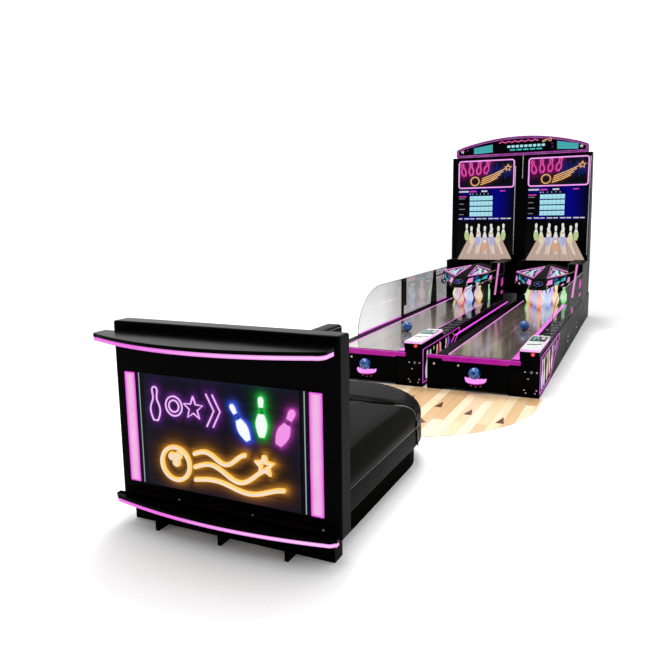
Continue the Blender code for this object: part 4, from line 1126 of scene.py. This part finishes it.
def lane_picture(side, sheet, middle, left, right):
    """A lane seen in perspective on the screen, with ten bright pins at its far end."""
    top, foot = 1.335, 0.962
    lane = [(left + 0.012, foot), (right - 0.012, foot), (middle + 0.275, top), (middle - 0.275, top)]
    prints("picture_lane_" + side, sheet, [lane], PICTURE_WOOD, LIFT * 2)
    seams = []
    for i in range(1, 12):
        u = i / 12
        x0, x1 = left + 0.012 + (right - left - 0.024) * u, middle - 0.275 + 0.55 * u
        seams.append([(x0 - 0.0016, foot), (x0 + 0.0016, foot), (x1 + 0.0008, top), (x1 - 0.0008, top)])
    prints("picture_seams_" + side, sheet, seams, INK_BROWN, LIFT * 2.6)
    streaks = []
    for u, wide in ((-0.62, 0.030), (-0.28, 0.045), (0.02, 0.035), (0.33, 0.045), (0.66, 0.030)):
        x0, x1 = middle + 0.46 * u, middle + 0.275 * u
        streaks.append([(x0 - wide * 0.7, foot + 0.10), (x0 + wide * 0.7, foot + 0.10), (x1 + wide, top), (x1 - wide, top)])
    prints("picture_streaks_" + side, sheet, streaks, PICTURE_SHINE, LIFT * 2.3)
    ranks = ((1.290, 0.280, ((-0.310, "lime"), (-0.105, "cream"), (0.105, "cream"), (0.310, "lime"))),
             (1.236, 0.295, ((-0.228, "cream"), (0.0, "lilac"), (0.228, "cream"))),
             (1.200, 0.310, ((-0.115, "lilac"), (0.115, "lilac"))), (1.097, 0.320, ((0.0, "peach"),)))
    whites, stripes, glows = [], [], {"lime": [], "lilac": [], "peach": [], "cream": []}
    for rank, (base, tall, places) in enumerate(ranks):
        for place, kind in places:
            out = LIFT * (3 + rank * 1.4)
            glows[kind].append((middle + place, base, tall, out))
            whites.append((middle + place, base, tall, out + LIFT * 0.7))
            stripes.append((middle + place, base, tall, out + LIFT))
    inks = {"lime": PICTURE_LIME, "lilac": PICTURE_LILAC, "peach": PICTURE_PEACH, "cream": PICTURE_CREAM}
    for kind, items in glows.items():
        mesh_piece(f"picture_{kind}_{side}", lambda bm, items=items: [
            add_prism(bm, sheet, pin_outline(u, v, h, fat=0.86), o - 0.0004, o) for u, v, h, o in items],
            inks[kind], smooth=False)
    mesh_piece("picture_whites_" + side, lambda bm: [
        add_prism(bm, sheet, pin_outline(u, v, h, fat=0.78, low=0.44), o - 0.0003, o) for u, v, h, o in whites],
        PICTURE_WHITE, smooth=False)
    mesh_piece("picture_stripes_" + side, lambda bm: [
        add_prism(bm, sheet, rectangle(u - 0.045 * h, v + h * 0.655, u + 0.045 * h, v + h * 0.70), o - 0.0002, o)
        for u, v, h, o in stripes], INK_RED, smooth=False)


def neon_picture(side, sheet, left, right):
    """Generic neon art inside the framed top of the screen: pins, a ball and speed lines."""
    skyline = []
    for i in range(9):
        u = left + 0.500 + i * 0.046
        skyline.append(rectangle(u, 2.300 + 0.03 * (i % 3), u + 0.030, 2.500 + 0.030 * ((i * 2) % 4)))
    prints("art_skyline_" + side, sheet, skyline, INK_NAVY, LIFT * 2)
    rose = [pin_outline(left + 0.110 + i * 0.118, 2.375 + 0.010 * i, 0.200, lean, fat=1.15)
            for i, lean in enumerate((-12, -4, 6, 14))]
    ball = circle(left + 0.290, 2.278, 0.070, 28)
    gold = [ball + ball[:1]]
    for i in range(4):
        rise = 0.032 * i
        gold.append([(left + 0.385 + 0.010 * i, 2.222 + rise), (left + 0.540 + 0.03 * i, 2.268 + rise * 1.35),
                     (left + 0.665 + 0.045 * i, 2.330 + rise * 1.5)])
    tail = star(left + 0.835, 2.480, 0.055)
    gold.append(tail + tail[:1])
    halos = [(path + path[:1], (0.50, 0.01, 0.22), 0.014, (0.17, 0.006, 0.12), 0.045) for path in rose]
    halos += [(path, (0.30, 0.11, 0.02), 0.010, (0.030, 0.010, 0.002), 0.030) for path in gold]
    washed_boards("art_ground_" + side, sheet, (left + 0.030, 2.184, right - 0.030, 2.600), halos, (110, 56))
    tubes("art_pins_" + side, [drawn(sheet, path, LIFT * 5) for path in rose], 0.0085, NEON_PINK, cyclic=True,
          resolution=1)
    tubes("art_gold_" + side, [drawn(sheet, path, LIFT * 6) for path in gold], 0.0080, NEON_GOLD, resolution=1)


def tower_trim(side, cx):
    """Grey vertical trims on the tower."""
    trims = {"left": [(0.5150, 1.060, 2.500, 0.014)], "right": [(0.5165, 1.060, 2.610, 0.014)]}[side]
    if side == "right":
        trims.append((-0.5200, 2.300, 2.665, 0.012))
    face = FRONT + 5.100
    bars = [((cx + a - wide / 2, face - 0.006, low), (cx + a + wide / 2, face - 0.0002, high))
            for a, low, high, wide in trims]
    boxes_piece("tower_trims_" + side, bars, GREY_TRIM, 0.002)


# ---------------------------------------------------------------- marquee
def arch(x, foot_half=1.050, end=2.810, mid=2.980):
    """Height of the marquee's arched top."""
    return end + (mid - end) * (1 - (x / foot_half) ** 2)


def marquee_outline(inset):
    """Outline of the marquee, moved inwards."""
    half = 1.050 - inset
    foot = 2.6723 + inset
    corner = max(0.004, 0.030 - inset * 0.4)
    points = [(-half + corner, foot), (half - corner, foot)]
    points += [(half - corner + corner * sin(a), foot + corner - corner * cos(a)) for a in
               [radians(18 * i) for i in range(1, 6)]]
    steps = 40
    top = [(half - 2 * half * i / steps, arch(half - 2 * half * i / steps) - inset) for i in range(steps + 1)]
    points += [(half, top[0][1] - corner)] + [(half - corner * 0.25, top[0][1] - corner * 0.2)]
    points += top[2:-2]
    points += [(-half + corner * 0.25, top[-1][1] - corner * 0.2), (-half, top[-1][1] - corner)]
    points += [(-half + corner - corner * cos(a), foot + corner - corner * sin(a)) for a in
               [radians(18 * i) for i in range(0, 5)]]
    return points


def marquee():
    """Arched header with a lit border, cyan windows, stars and generic lit bars."""
    depth = 0.0998
    sheet = Sheet((0.0, FRONT + 5.1003, 0.0), (1, 0, 0), (0, 0, 1))
    shell = prints("marquee_shell", sheet, [marquee_outline(0.0)], BLACK, 0.0, depth - 0.001)
    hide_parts("marquee")
    prints("marquee_border", sheet, [marquee_outline(0.004)], BORDER_PURPLE, LIFT)
    tubes("marquee_line", [drawn(sheet, marquee_outline(0.005), LIFT)], 0.0030, LED_HOT, cyclic=True, resolution=1)
    tubes("marquee_inner_line", [drawn(sheet, marquee_outline(0.036), LIFT)], 0.0030, LED_HOT,
          cyclic=True, resolution=1)
    prints("marquee_field", sheet, [marquee_outline(0.038)], SCREEN_BLACK, LIFT * 2)
    left_pane = [(-0.750, 2.728), (-0.440, 2.742), (-0.445, 2.868), (-0.755, 2.822)]
    right_pane = [(0.580, 2.742), (0.895, 2.728), (0.900, 2.812), (0.575, 2.866)]
    prints("marquee_panes", sheet, [left_pane, right_pane], CYAN_PANE, LIFT * 3)
    bands = [[(u0, v0), (u1, v1), (u1, v1 + 0.006), (u0, v0 + 0.006)]
             for u0, v0, u1, v1 in ((-0.750, 2.765, -0.443, 2.785), (-0.752, 2.795, -0.444, 2.825),
                                    (0.579, 2.785, 0.896, 2.765), (0.577, 2.825, 0.898, 2.790))]
    prints("marquee_pane_lines", sheet, bands, INK_CYAN_DEEP, LIFT * 3.6)
    prints("marquee_stars", sheet, [star(-0.945, 2.770, 0.034), star(0.945, 2.770, 0.034)], INK_WHITE, LIFT * 3)
    prints("marquee_dots", sheet, [circle(-0.86, 2.790, 0.016, 14), circle(0.500, 2.835, 0.014, 14),
                                   circle(0.505, 2.780, 0.014, 14)], INK_PURPLE, LIFT * 3)
    zig = [(-0.340 + 0.052 * i, 2.885 + (0.016 if i % 2 else -0.006) + 0.0010 * i) for i in range(13)]
    tubes("marquee_zigzag", [drawn(sheet, zig, LIFT * 6)], 0.0085, NEON_PINK, resolution=1)
    gold = pin_outline(0.350, 2.872, 0.075, 68)
    gold_ball = circle(0.465, 2.895, 0.022, 18)
    tubes("marquee_gold", [drawn(sheet, gold, LIFT * 6), drawn(sheet, gold_ball, LIFT * 6)], 0.0050, NEON_GOLD,
          cyclic=True, resolution=1)
    upper = [rectangle(-0.205 + 0.068 * i, 2.800, -0.205 + 0.068 * i + 0.050, 2.838, 0.008) for i in range(9)]
    lower = [rectangle(-0.160 + 0.105 * i, 2.752, -0.160 + 0.105 * i + 0.085, 2.776, 0.006) for i in range(5)]
    prints("marquee_bars", sheet, upper, CELL_CYAN, LIFT * 3)
    prints("marquee_small_bars", sheet, lower, INK_CYAN, LIFT * 3)


# ---------------------------------------------------------------- guards
GUARDS = {"left": (-1.0245, 0.3603, 0.880, 0.690, 1.450, 4.4997),
          "middle": (-0.0325, 0.4003, 0.815, 1.050, 1.950, 4.1997),
          "right": (1.1185, 0.4003, 0.860, 0.690, 1.450, 4.1997)}


def guard_edges():
    """Polished dark edge along each clear guard, and its lit foot."""
    for name, (x, low, high, front, arc_end, back) in GUARDS.items():
        paint("side_guard_" + name, CLEAR[name])
        arc = []
        for i in range(29):
            turn = pi / 2 * i / 28
            arc.append(Vector((x, FRONT + arc_end - (arc_end - front) * cos(turn), low + (high - low) * sin(turn))))
        arc[0].z += 0.004
        lowered = [p - Vector((0, 0, 0.0025)) for p in arc]
        top = [lowered[-1], Vector((x, FRONT + back - 0.002, high - 0.0025))]
        tubes("guard_arc_" + name, [lowered], 0.0036, GUARD_BLACK, resolution=1)
        # Painted glow: part of the left guard's front edge glows pink, standing in for pink LED light seen in the clear
        # sheet.
        if name == "left":
            glowing_arc = [p + Vector((0, 0, 0.0004)) for p in lowered[17:26]]
            tubes("guard_arc_painted_glow", [glowing_arc], 0.0042, GUARD_PINK, resolution=1)
        # The top edge takes the light grey GUARD_TOP, a painted highlight.
        tubes("guard_top_" + name, [top], 0.0038, GUARD_TOP, resolution=1)
        foot = [(Vector((x - 0.007, FRONT + front + 0.02, low)), Vector((x + 0.007, FRONT + back - 0.02, low + 0.012)))]
        boxes_piece("guard_foot_" + name, foot, LED_HOT if name == "left" else BLACK_METAL, 0.002, 1)
    tall = GUARDS["left"]
    between_lanes = [(Vector((0.0285, FRONT + 1.060, 0.3605)), Vector((0.0450, FRONT + 4.190, 0.3745)))]
    boxes_piece("guard_line_middle", between_lanes, GUARD_LED, 0.003, 2)
    shapes = [(2.300, 0.530), (2.300, 0.850), (3.775, 0.850), (3.720, 0.420)]
    heads = [Vector((tall[0] + 0.0134, FRONT + y, z)) for y, z in shapes]
    dome = [(0.008, 0.0), (0.008, 0.001), (0.006, 0.003), (0.0, 0.0038)]
    mesh_piece("guard_screws_left", lambda bm: [turned(bm, dome, p, 14, "X") for p in heads], STEEL)
    paint("guard_posts_left", BLACK_METAL)
    paint("guard_post_middle", BLACK_METAL)


# ---------------------------------------------------------------- approach floor
def approach():
    """Maple planks with dark arrows and inlays let into them."""
    paint("approach_floor", MAPLE)
    sheet = Sheet((0.0, FRONT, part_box("approach_floor")[1].z), (1, 0, 0), (0, 1, 0))
    places = [(0.0, -0.400)] + [(sign * x, y) for x, y in ((0.323, -0.530), (0.628, -0.660), (0.933, -0.800))
                                for sign in (-1, 1)]
    arrows = [[(x - 0.036, y - 0.095), (x + 0.036, y - 0.095), (x, y + 0.095)] for x, y in places]
    ring = [[(0.0, -1.100 - reach), (0.36 * reach / 0.46, -1.100), (0.0, -1.100 + reach), (-0.36 * reach / 0.46, -1.100)]
            for reach in (0.46, 0.30)]
    for (a, b), (c, d) in zip(zip(ring[0], ring[0][1:] + ring[0][:1]), zip(ring[1], ring[1][1:] + ring[1][:1])):
        arrows.append([a, b, d, c])
    prints("floor_arrows", sheet, arrows, INLAY, 0.0004, 0.0003)


# ---------------------------------------------------------------- island bench
WALL_X = (WALL_LOW.x + WALL_HIGH.x) / 2
SHELVES = {"top_shelf": (1.100, 1.140, -4.619, -4.750), "lower_shelf": (0.1403, 0.180, -4.520, -4.584)}


def shelf_outline(end_y, middle_y, inset, back):
    """Bowed outline of a drinks shelf, moved inwards at its front and sides."""
    half, corner = 0.7035 - inset, 0.050 - inset * 0.5
    end_y, middle_y = end_y + inset, middle_y + inset
    reach = half - corner
    points = [(WALL_X + half, back)]
    for i in range(9):
        turn = pi / 2 * i / 8
        points.append((WALL_X + reach + corner * cos(turn), end_y + corner - corner * sin(turn)))
    for i in range(1, 32):
        u = 1 - 2 * i / 32
        points.append((WALL_X + reach * u, end_y + (middle_y - end_y) * (1 - u * u)))
    for i in range(9):
        turn = pi / 2 * (1 + i / 8)
        points.append((WALL_X - reach + corner * cos(turn), end_y + corner - corner * sin(turn)))
    points.append((WALL_X - half, back))
    return points[::-1]


def shelves():
    """Each shelf: a black board above a lit band that follows its bowed front."""
    for name, (low, high, end_y, middle_y) in SHELVES.items():
        back = WALL_LOW.y - 0.0004
        flat = Sheet((0, 0, 0), (1, 0, 0), (0, 1, 0))
        split = low + (high - low) * 0.52
        board = prints(name + "_board", flat, [shelf_outline(end_y, middle_y, 0.0, back)[::-1]], BENCH_BLACK, high,
                       high - split)
        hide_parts(name)
        soften(board, 0.003)
        band = prints(name + "_light", flat, [shelf_outline(end_y, middle_y, 0.0016, back)[::-1]], SHELF_LED, split,
                      split - low)
        soften(band, 0.003)
        band.visible_diffuse = False
        core = [(x, y) for x, y in shelf_outline(end_y, middle_y, 0.0030, back)[1:-1]]
        line = [Vector((x, y, (low + split) / 2)) for x, y in core]
        tubes(name + "_core", [line], 0.0024, SHELF_CORE, resolution=1).visible_diffuse = False


def bench_sign():
    """Lit sign: boards washed by neon, a trio of pins, generic neon shapes and two light bars."""
    paint("sign_panel", SCREEN_BLACK)
    sheet = Sheet((0.0, SIGN_LOW.y, 0.0), (1, 0, 0), (0, 0, 1))
    lilac, amber = neon_paths()
    trio = (("blue", (0.160, 0.600), 0.215, -29, NEON_WHITE, NEON_BLUE, (0.05, 0.12, 0.90)),
            ("green", (0.241, 0.628), 0.220, 0, NEON_GREEN, HALO_GREEN, (0.02, 0.60, 0.08)),
            ("rose", (0.338, 0.603), 0.212, 25, NEON_ROSE, NEON_ROSE, (0.55, 0.06, 0.50)))
    halos = [(path, (0.16, 0.02, 0.30), 0.012, (0.022, 0.003, 0.045), 0.045) for path in lilac]
    halos += [(path, (1.0, 0.42, 0.04), 0.016, (0.080, 0.022, 0.002), 0.055) for path in amber]
    out = 0.0070
    tubes("neon_lilac", [drawn(sheet, path, out) for path in lilac], 0.0046, NEON_LILAC)
    tubes("neon_amber", [drawn(sheet, path, out + 0.004) for path in amber], 0.0135, NEON_AMBER)
    tubes("neon_amber_core", [drawn(sheet, path, out + 0.0085) for path in amber], 0.0100, CORE_CREAM)
    for name, (u, v), tall, tilt, body, edge, colour in trio:
        lower = pin_outline(u, v, tall, tilt, fat=1.02, high=0.610)
        head = pin_outline(u, v, tall, tilt, fat=1.02, low=0.700)
        pieces = prints(f"neon_pin_{name}", sheet, [lower, head], body, 0.008, 0.007)
        soften(pieces, 0.002)
        tubes(f"neon_pin_edge_{name}", [drawn(sheet, lower, 0.006), drawn(sheet, head, 0.006)], 0.0030, edge,
              cyclic=True, resolution=1)
        whole = pin_outline(u, v, tall, tilt, fat=1.02)
        halos.append((whole + whole[:1], colour, 0.013, tuple(c * 0.05 for c in colour), 0.045))
    washed_boards("sign_boards", sheet, (-0.523, 0.252, 0.459, 0.898), halos, (200, 130))
    strips = [rectangle(-0.563, 0.252, -0.557, 0.898), rectangle(0.483, 0.252, 0.489, 0.898)]
    prints("sign_strips", Sheet((0.0, SIGN_HIGH.y - 0.0030, 0.0), (1, 0, 0), (0, 0, 1)), strips, PALE_LINE)
    for name, u0, u1 in (("left", -0.660, -0.583), ("right", 0.513, 0.590)):
        prints("light_bar_" + name, sheet, [rectangle(u0 + 0.003, 0.253, u1 - 0.003, 0.897, 0.004)], PALE_BAR)
        edge = rectangle(u0 + 0.004, 0.254, u1 - 0.004, 0.896, 0.005)
        tubes("light_bar_edge_" + name, [drawn(sheet, edge, 0.0012)], 0.0024, LED_HOT, cyclic=True, resolution=1)
        middle = (u0 + u1) / 2
        for step, wide in enumerate((0.024, 0.018, 0.012)):
            strip = rectangle(middle - wide, 0.262, middle + wide, 0.888, 0.004)
            prints(f"light_bar_core_{name}_{step}", sheet, [strip], BAR_CORES[step], LIFT * (2 + step * 0.6))
    bolts = [Vector((x, WALL_LOW.y, z)) for x, z in ((-0.274, 0.217), (0.198, 0.217), (0.607, 0.217))]
    bolt_heads("sign_bolts", bolts, 0.0060, DARK_STEEL)


def arc_path(cu, cv, radius, start, stop, steps=20):
    """Part of a circle from one angle to another, in degrees."""
    return [(cu + radius * cos(radians(start + (stop - start) * i / steps)),
             cv + radius * sin(radians(start + (stop - start) * i / steps))) for i in range(steps + 1)]


def neon_paths():
    """Generic neon drawing: small lane symbols above, and a rolling ball with flaming trails below."""
    pin = pin_outline(-0.445, 0.638, 0.192, fat=1.1)
    lilac = [pin + pin[:1], arc_path(-0.316, 0.733, 0.055, 90, 450, 36), arc_path(-0.316, 0.733, 0.033, 90, 450, 28)]
    shape = star(-0.186, 0.735, 0.066)
    lilac.append(shape + shape[:1])
    lilac += [[(-0.100 + 0.040 * k, 0.825), (-0.052 + 0.040 * k, 0.735), (-0.100 + 0.040 * k, 0.645)] for k in range(2)]
    amber = [arc_path(-0.318, 0.405, 0.094, 90, 450, 44)]
    amber += [arc_path(-0.318 + du, 0.405 + dv, 0.013, 0, 360, 12) for du, dv in ((-0.022, 0.040), (0.020, 0.048), (0.006, 0.008))]
    for lift, reach, bow in ((0.075, 0.330, 0.040), (0.000, 0.470, 0.055), (-0.072, 0.560, 0.030)):
        crest = [(-0.190 + reach * i / 30, 0.405 + lift + bow * sin(i / 30 * 2.5 * pi) * (0.4 + i / 50))
                 for i in range(31)]
        amber.append(crest)
    burst = star(0.255, 0.480, 0.052)
    amber.append(burst + burst[:1])
    return lilac, amber


def bench_body():
    """Wall, base and spine keep their frame shapes and take new materials."""
    paint("sign_wall", BENCH_BLACK)
    paint("seat_base", GREY_SIDE)
    paint("spine_back", VINYL)


# ---------------------------------------------------------------- upholstery
SEAT_LOW, SEAT_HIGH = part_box("end_cushion")
BENCH_BACK = WALL_HIGH.y + 0.0004
ROUND_Y = SEAT_LOW.y
SIDE_SEAM = 0.302
# distance in from the seat's outer edge, and height, of the cushion's section before it swells
SECTION = ((0.012, 0.1640), (0.006, 0.172), (0.007, 0.225), (0.010, 0.285), (0.016, SIDE_SEAM), (0.010, 0.320),
           (0.009, 0.350), (0.012, 0.385), (0.026, 0.415), (0.052, 0.434), (0.090, 0.443), (0.160, 0.448))


def side_form(sign):
    """Section of one straight cushion in the plane across the bench, run along its length."""
    def build(bm):
        half = SEAT_HIGH.x
        outer = [(sign * (half - d), z) for d, z in SECTION]
        inner = [(sign * 0.20, 0.4480), (sign * 0.120, 0.4430), (sign * 0.088, 0.4330), (sign * 0.074, 0.4150),
                 (sign * 0.070, 0.380), (sign * 0.070, 0.1640)]
        across = Sheet((0, ROUND_Y, 0), (1, 0, 0), (0, 0, 1))
        length = ROUND_Y - BENCH_BACK
        add_prism(bm, across, (outer + inner)[::-sign], 0.006, length - 0.006)
    return build


def end_form(bm):
    """The same section turned round the end of the bench."""
    half = SEAT_HIGH.x
    section = [(0.0, 0.1640)] + [(half - d, z) for d, z in SECTION] + [(0.35, 0.4495), (0.0, 0.4510)]
    turned(bm, section, (0, ROUND_Y, 0), 96)
    trimmed(bm, (0, ROUND_Y + 0.0062, 0), (0, -1, 0))


def apply_modifiers(obj):
    """Bake an object's modifiers into its mesh."""
    mesh = bpy.data.meshes.new_from_object(obj.evaluated_get(bpy.context.evaluated_depsgraph_get()))
    old = obj.data
    obj.modifiers.clear()
    obj.data = mesh
    bpy.data.meshes.remove(old)


def swell(obj, pressure, cap):
    """A short cloth run under inner pressure; the foot and the sewn line are held."""
    held = obj.vertex_groups.new(name="held")
    held.add([v.index for v in obj.data.vertices if v.co.z < 0.180 or abs(v.co.z - SIDE_SEAM) < 0.006],
             1.0, "REPLACE")
    cloth = obj.modifiers.new("cloth", "CLOTH")
    settings = cloth.settings
    settings.quality = 5
    settings.mass = 0.35
    settings.tension_stiffness = 40
    settings.compression_stiffness = 40
    settings.shear_stiffness = 20
    settings.bending_stiffness = 8.0
    settings.use_pressure = True
    settings.uniform_pressure_force = pressure
    settings.vertex_group_mass = "held"
    settings.effector_weights.gravity = 0.0
    cloth.point_cache.frame_start = 1
    cloth.point_cache.frame_end = 14
    rest = [v.co.copy() for v in obj.data.vertices]
    scene = bpy.context.scene
    for number in range(1, 15):
        scene.frame_set(number)
    apply_modifiers(obj)
    scene.frame_set(1)
    for vert, start in zip(obj.data.vertices, rest):
        move = vert.co - start
        if move.length > cap:
            vert.co = start + move * (cap / move.length)


def cushion(node, build):
    """One upholstered form: remeshed, swollen as cloth, kept in its own space, and divided once."""
    obj = mesh_piece("soft_" + node, build, VINYL, ROOT)
    remesh = obj.modifiers.new("remesh", "REMESH")
    remesh.mode = "VOXEL"
    remesh.voxel_size = 0.010
    apply_modifiers(obj)
    swell(obj, 2.2, 0.010)
    low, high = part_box(node)
    for vert in obj.data.vertices:
        vert.co = Vector([min(max(c, a + 0.0005), b + lift) for c, a, b, lift in
                          zip(vert.co, low, high, (-0.0005, -0.0005, 0.004))])
    smooth = obj.modifiers.new("smooth", "SMOOTH")
    smooth.factor = 0.5
    smooth.iterations = 8
    divide = obj.modifiers.new("divide", "SUBSURF")
    divide.levels = divide.render_levels = 1
    apply_modifiers(obj)
    obj.data.shade_smooth()
    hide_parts(node)
    return obj


def surface_line(obj, start, end, count, lift=0.0):
    """Points where vertical drops on a line meet the top of a cushion."""
    points = []
    for i in range(count + 1):
        above = start + (end - start) * (i / count) + Vector((0, 0, 0.4))
        hit, where, _, _ = obj.ray_cast(above, Vector((0, 0, -1)))
        if hit:
            points.append(where + Vector((0, 0, lift)))
    return points


def upholstery():
    """Both straight cushions, the round end, their piping, and the padded spine."""
    left = cushion("side_cushion_left", side_form(-1))
    right = cushion("side_cushion_right", side_form(1))
    end = cushion("end_cushion", end_form)
    bpy.context.view_layer.update()
    half = SEAT_HIGH.x
    for name, sign in (("left", -1), ("right", 1)):
        line = surface_line(end, Vector((sign * 0.012, ROUND_Y + 0.014, 0.2)), Vector((sign * (half - 0.014),
                            ROUND_Y + 0.014, 0.2)), 60, 0.001)
        down = [Vector((sign * (half - d + 0.001), ROUND_Y, z)) for d, z in
                ((0.008, 0.39), (0.005, 0.35), (0.005, 0.32), (0.012, SIDE_SEAM), (0.005, 0.27), (0.003, 0.20),
                 (0.004, 0.172))]
        path = [Vector((p.x, ROUND_Y, p.z)) for p in line] + down
        # The piping tubes take the lighter grey PIPING, a painted highlight along the seams.
        tubes("seat_piping_" + name, [path], 0.0055, PIPING)
    seam = []
    for i in range(49):
        turn = pi * i / 48
        seam.append(Vector(((half - 0.0125) * cos(turn), ROUND_Y + (half - 0.0125) * sin(turn), SIDE_SEAM)))
    start = Vector((half - 0.0125, BENCH_BACK + 0.004, SIDE_SEAM))
    finish = Vector((-half + 0.0125, BENCH_BACK + 0.004, SIDE_SEAM))
    tubes("side_piping", [[start] + seam + [finish]], 0.0035, PIPING)

    low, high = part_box("spine_back")
    spine = mesh_piece("soft_spine", lambda bm: add_box(bm, low + Vector((0.003, 0.0, 0.001)), high - Vector(
        (0.003, 0.002, 0.002)), 0.026, 5), VINYL, ROOT)
    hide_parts("spine_back")
    rim = [Vector((x, y, high.z - 0.018)) for x, y in
           rectangle(low.x + 0.003, low.y + 0.002, high.x - 0.003, high.y - 0.002, 0.024, 5)]
    tubes("spine_seam", [rim], 0.0022, PIPING, cyclic=True, resolution=1)


# ---------------------------------------------------------------- floor, light and camera
def studio():
    """Pale floor and backdrop, soft light, and the camera."""
    plane = mesh_piece("studio_floor", lambda bm: bmesh.ops.create_grid(
        bm, x_segments=2, y_segments=2, size=60.0), FLOOR_PALE)
    plane.location.z = -0.0005
    world = bpy.data.worlds.new("studio")
    bpy.context.scene.world = world
    world.use_nodes = True
    tree = world.node_tree
    coord = tree.nodes.new("ShaderNodeTexCoord")
    split = tree.nodes.new("ShaderNodeSeparateXYZ")
    tree.links.new(coord.outputs["Generated"], split.inputs["Vector"])
    toward = maths(tree, "ADD", maths(tree, "MULTIPLY", split.outputs["Y"], 0.9), 0.30)
    above = maths(tree, "MULTIPLY", split.outputs["Z"], 1.3)
    backdrop = remap(tree, maths(tree, "ADD", toward, above), 0.30, 1.30)
    tree.nodes["Background"].inputs["Color"].default_value = (1.0, 1.0, 1.0, 1.0)
    tree.links.new(backdrop, tree.nodes["Background"].inputs["Strength"])
    for name, where, look, size, power in LAMPS:
        lamp = bpy.data.lights.new(name, "AREA")
        lamp.shape = "RECTANGLE"
        lamp.size, lamp.size_y = size
        lamp.energy = power
        holder = bpy.data.objects.new(name, lamp)
        holder.location = where
        holder.rotation_euler = (Vector(look) - Vector(where)).to_track_quat("-Z", "Y").to_euler()
        bpy.context.scene.collection.objects.link(holder)
    yaw, pitch, roll = radians(25.907), radians(9.39), -0.0152
    forward = Vector((-sin(yaw) * cos(pitch), cos(yaw) * cos(pitch), -sin(pitch)))
    right = Vector((cos(yaw), sin(yaw), 0.0))
    up = right.cross(forward)
    across = right * cos(roll) + up * sin(roll)
    upward = up * cos(roll) - right * sin(roll)
    view = bpy.data.cameras.new("view")
    view.lens, view.sensor_width = 36.717, 36.0
    view.clip_end = 200.0
    holder = bpy.data.objects.new("view", view)
    turn = Matrix((across, upward, -forward)).transposed().to_4x4()
    holder.matrix_world = Matrix.Translation((1.9666, -7.2388, 1.75)) @ turn
    bpy.context.scene.collection.objects.link(holder)
    bpy.context.scene.camera = holder
    bpy.context.scene.view_settings.view_transform = "Standard"


LAMPS = (("over", (0.0, -3.0, 6.5), (0.0, -3.0, 0.0), (3.0, 4.0), 200.0),
         ("back", (-2.5, 2.0, 7.5), (0.0, -3.2, 0.6), (4.0, 2.0), 320.0))


# ---------------------------------------------------------------- everything together
for side, cx in LANES.items():
    for node, mat in (("cabinet_body_", BLACK), ("lane_deck_", LANE_WOOD), ("pit_hood_", BLACK_METAL),
                      ("tower_casing_", BLACK), ("display_screen_", SCREEN_BLACK)):
        paint(node + side, mat)
    for node in ("cabinet_body_", "pit_hood_", "tower_casing_"):
        soften(NODES[node + side], 0.0025)
    lane_front(side, cx)
    controls(side, cx)
    ledge_prints(side, cx)
    lane_lights(side, cx)
    pins(side)
    balls(side)
    hood_trim(side, cx)
    screen(side, cx)
    tower_trim(side, cx)
marquee()
guard_edges()
approach()
shelves()
bench_sign()
bench_body()
upholstery()
studio()
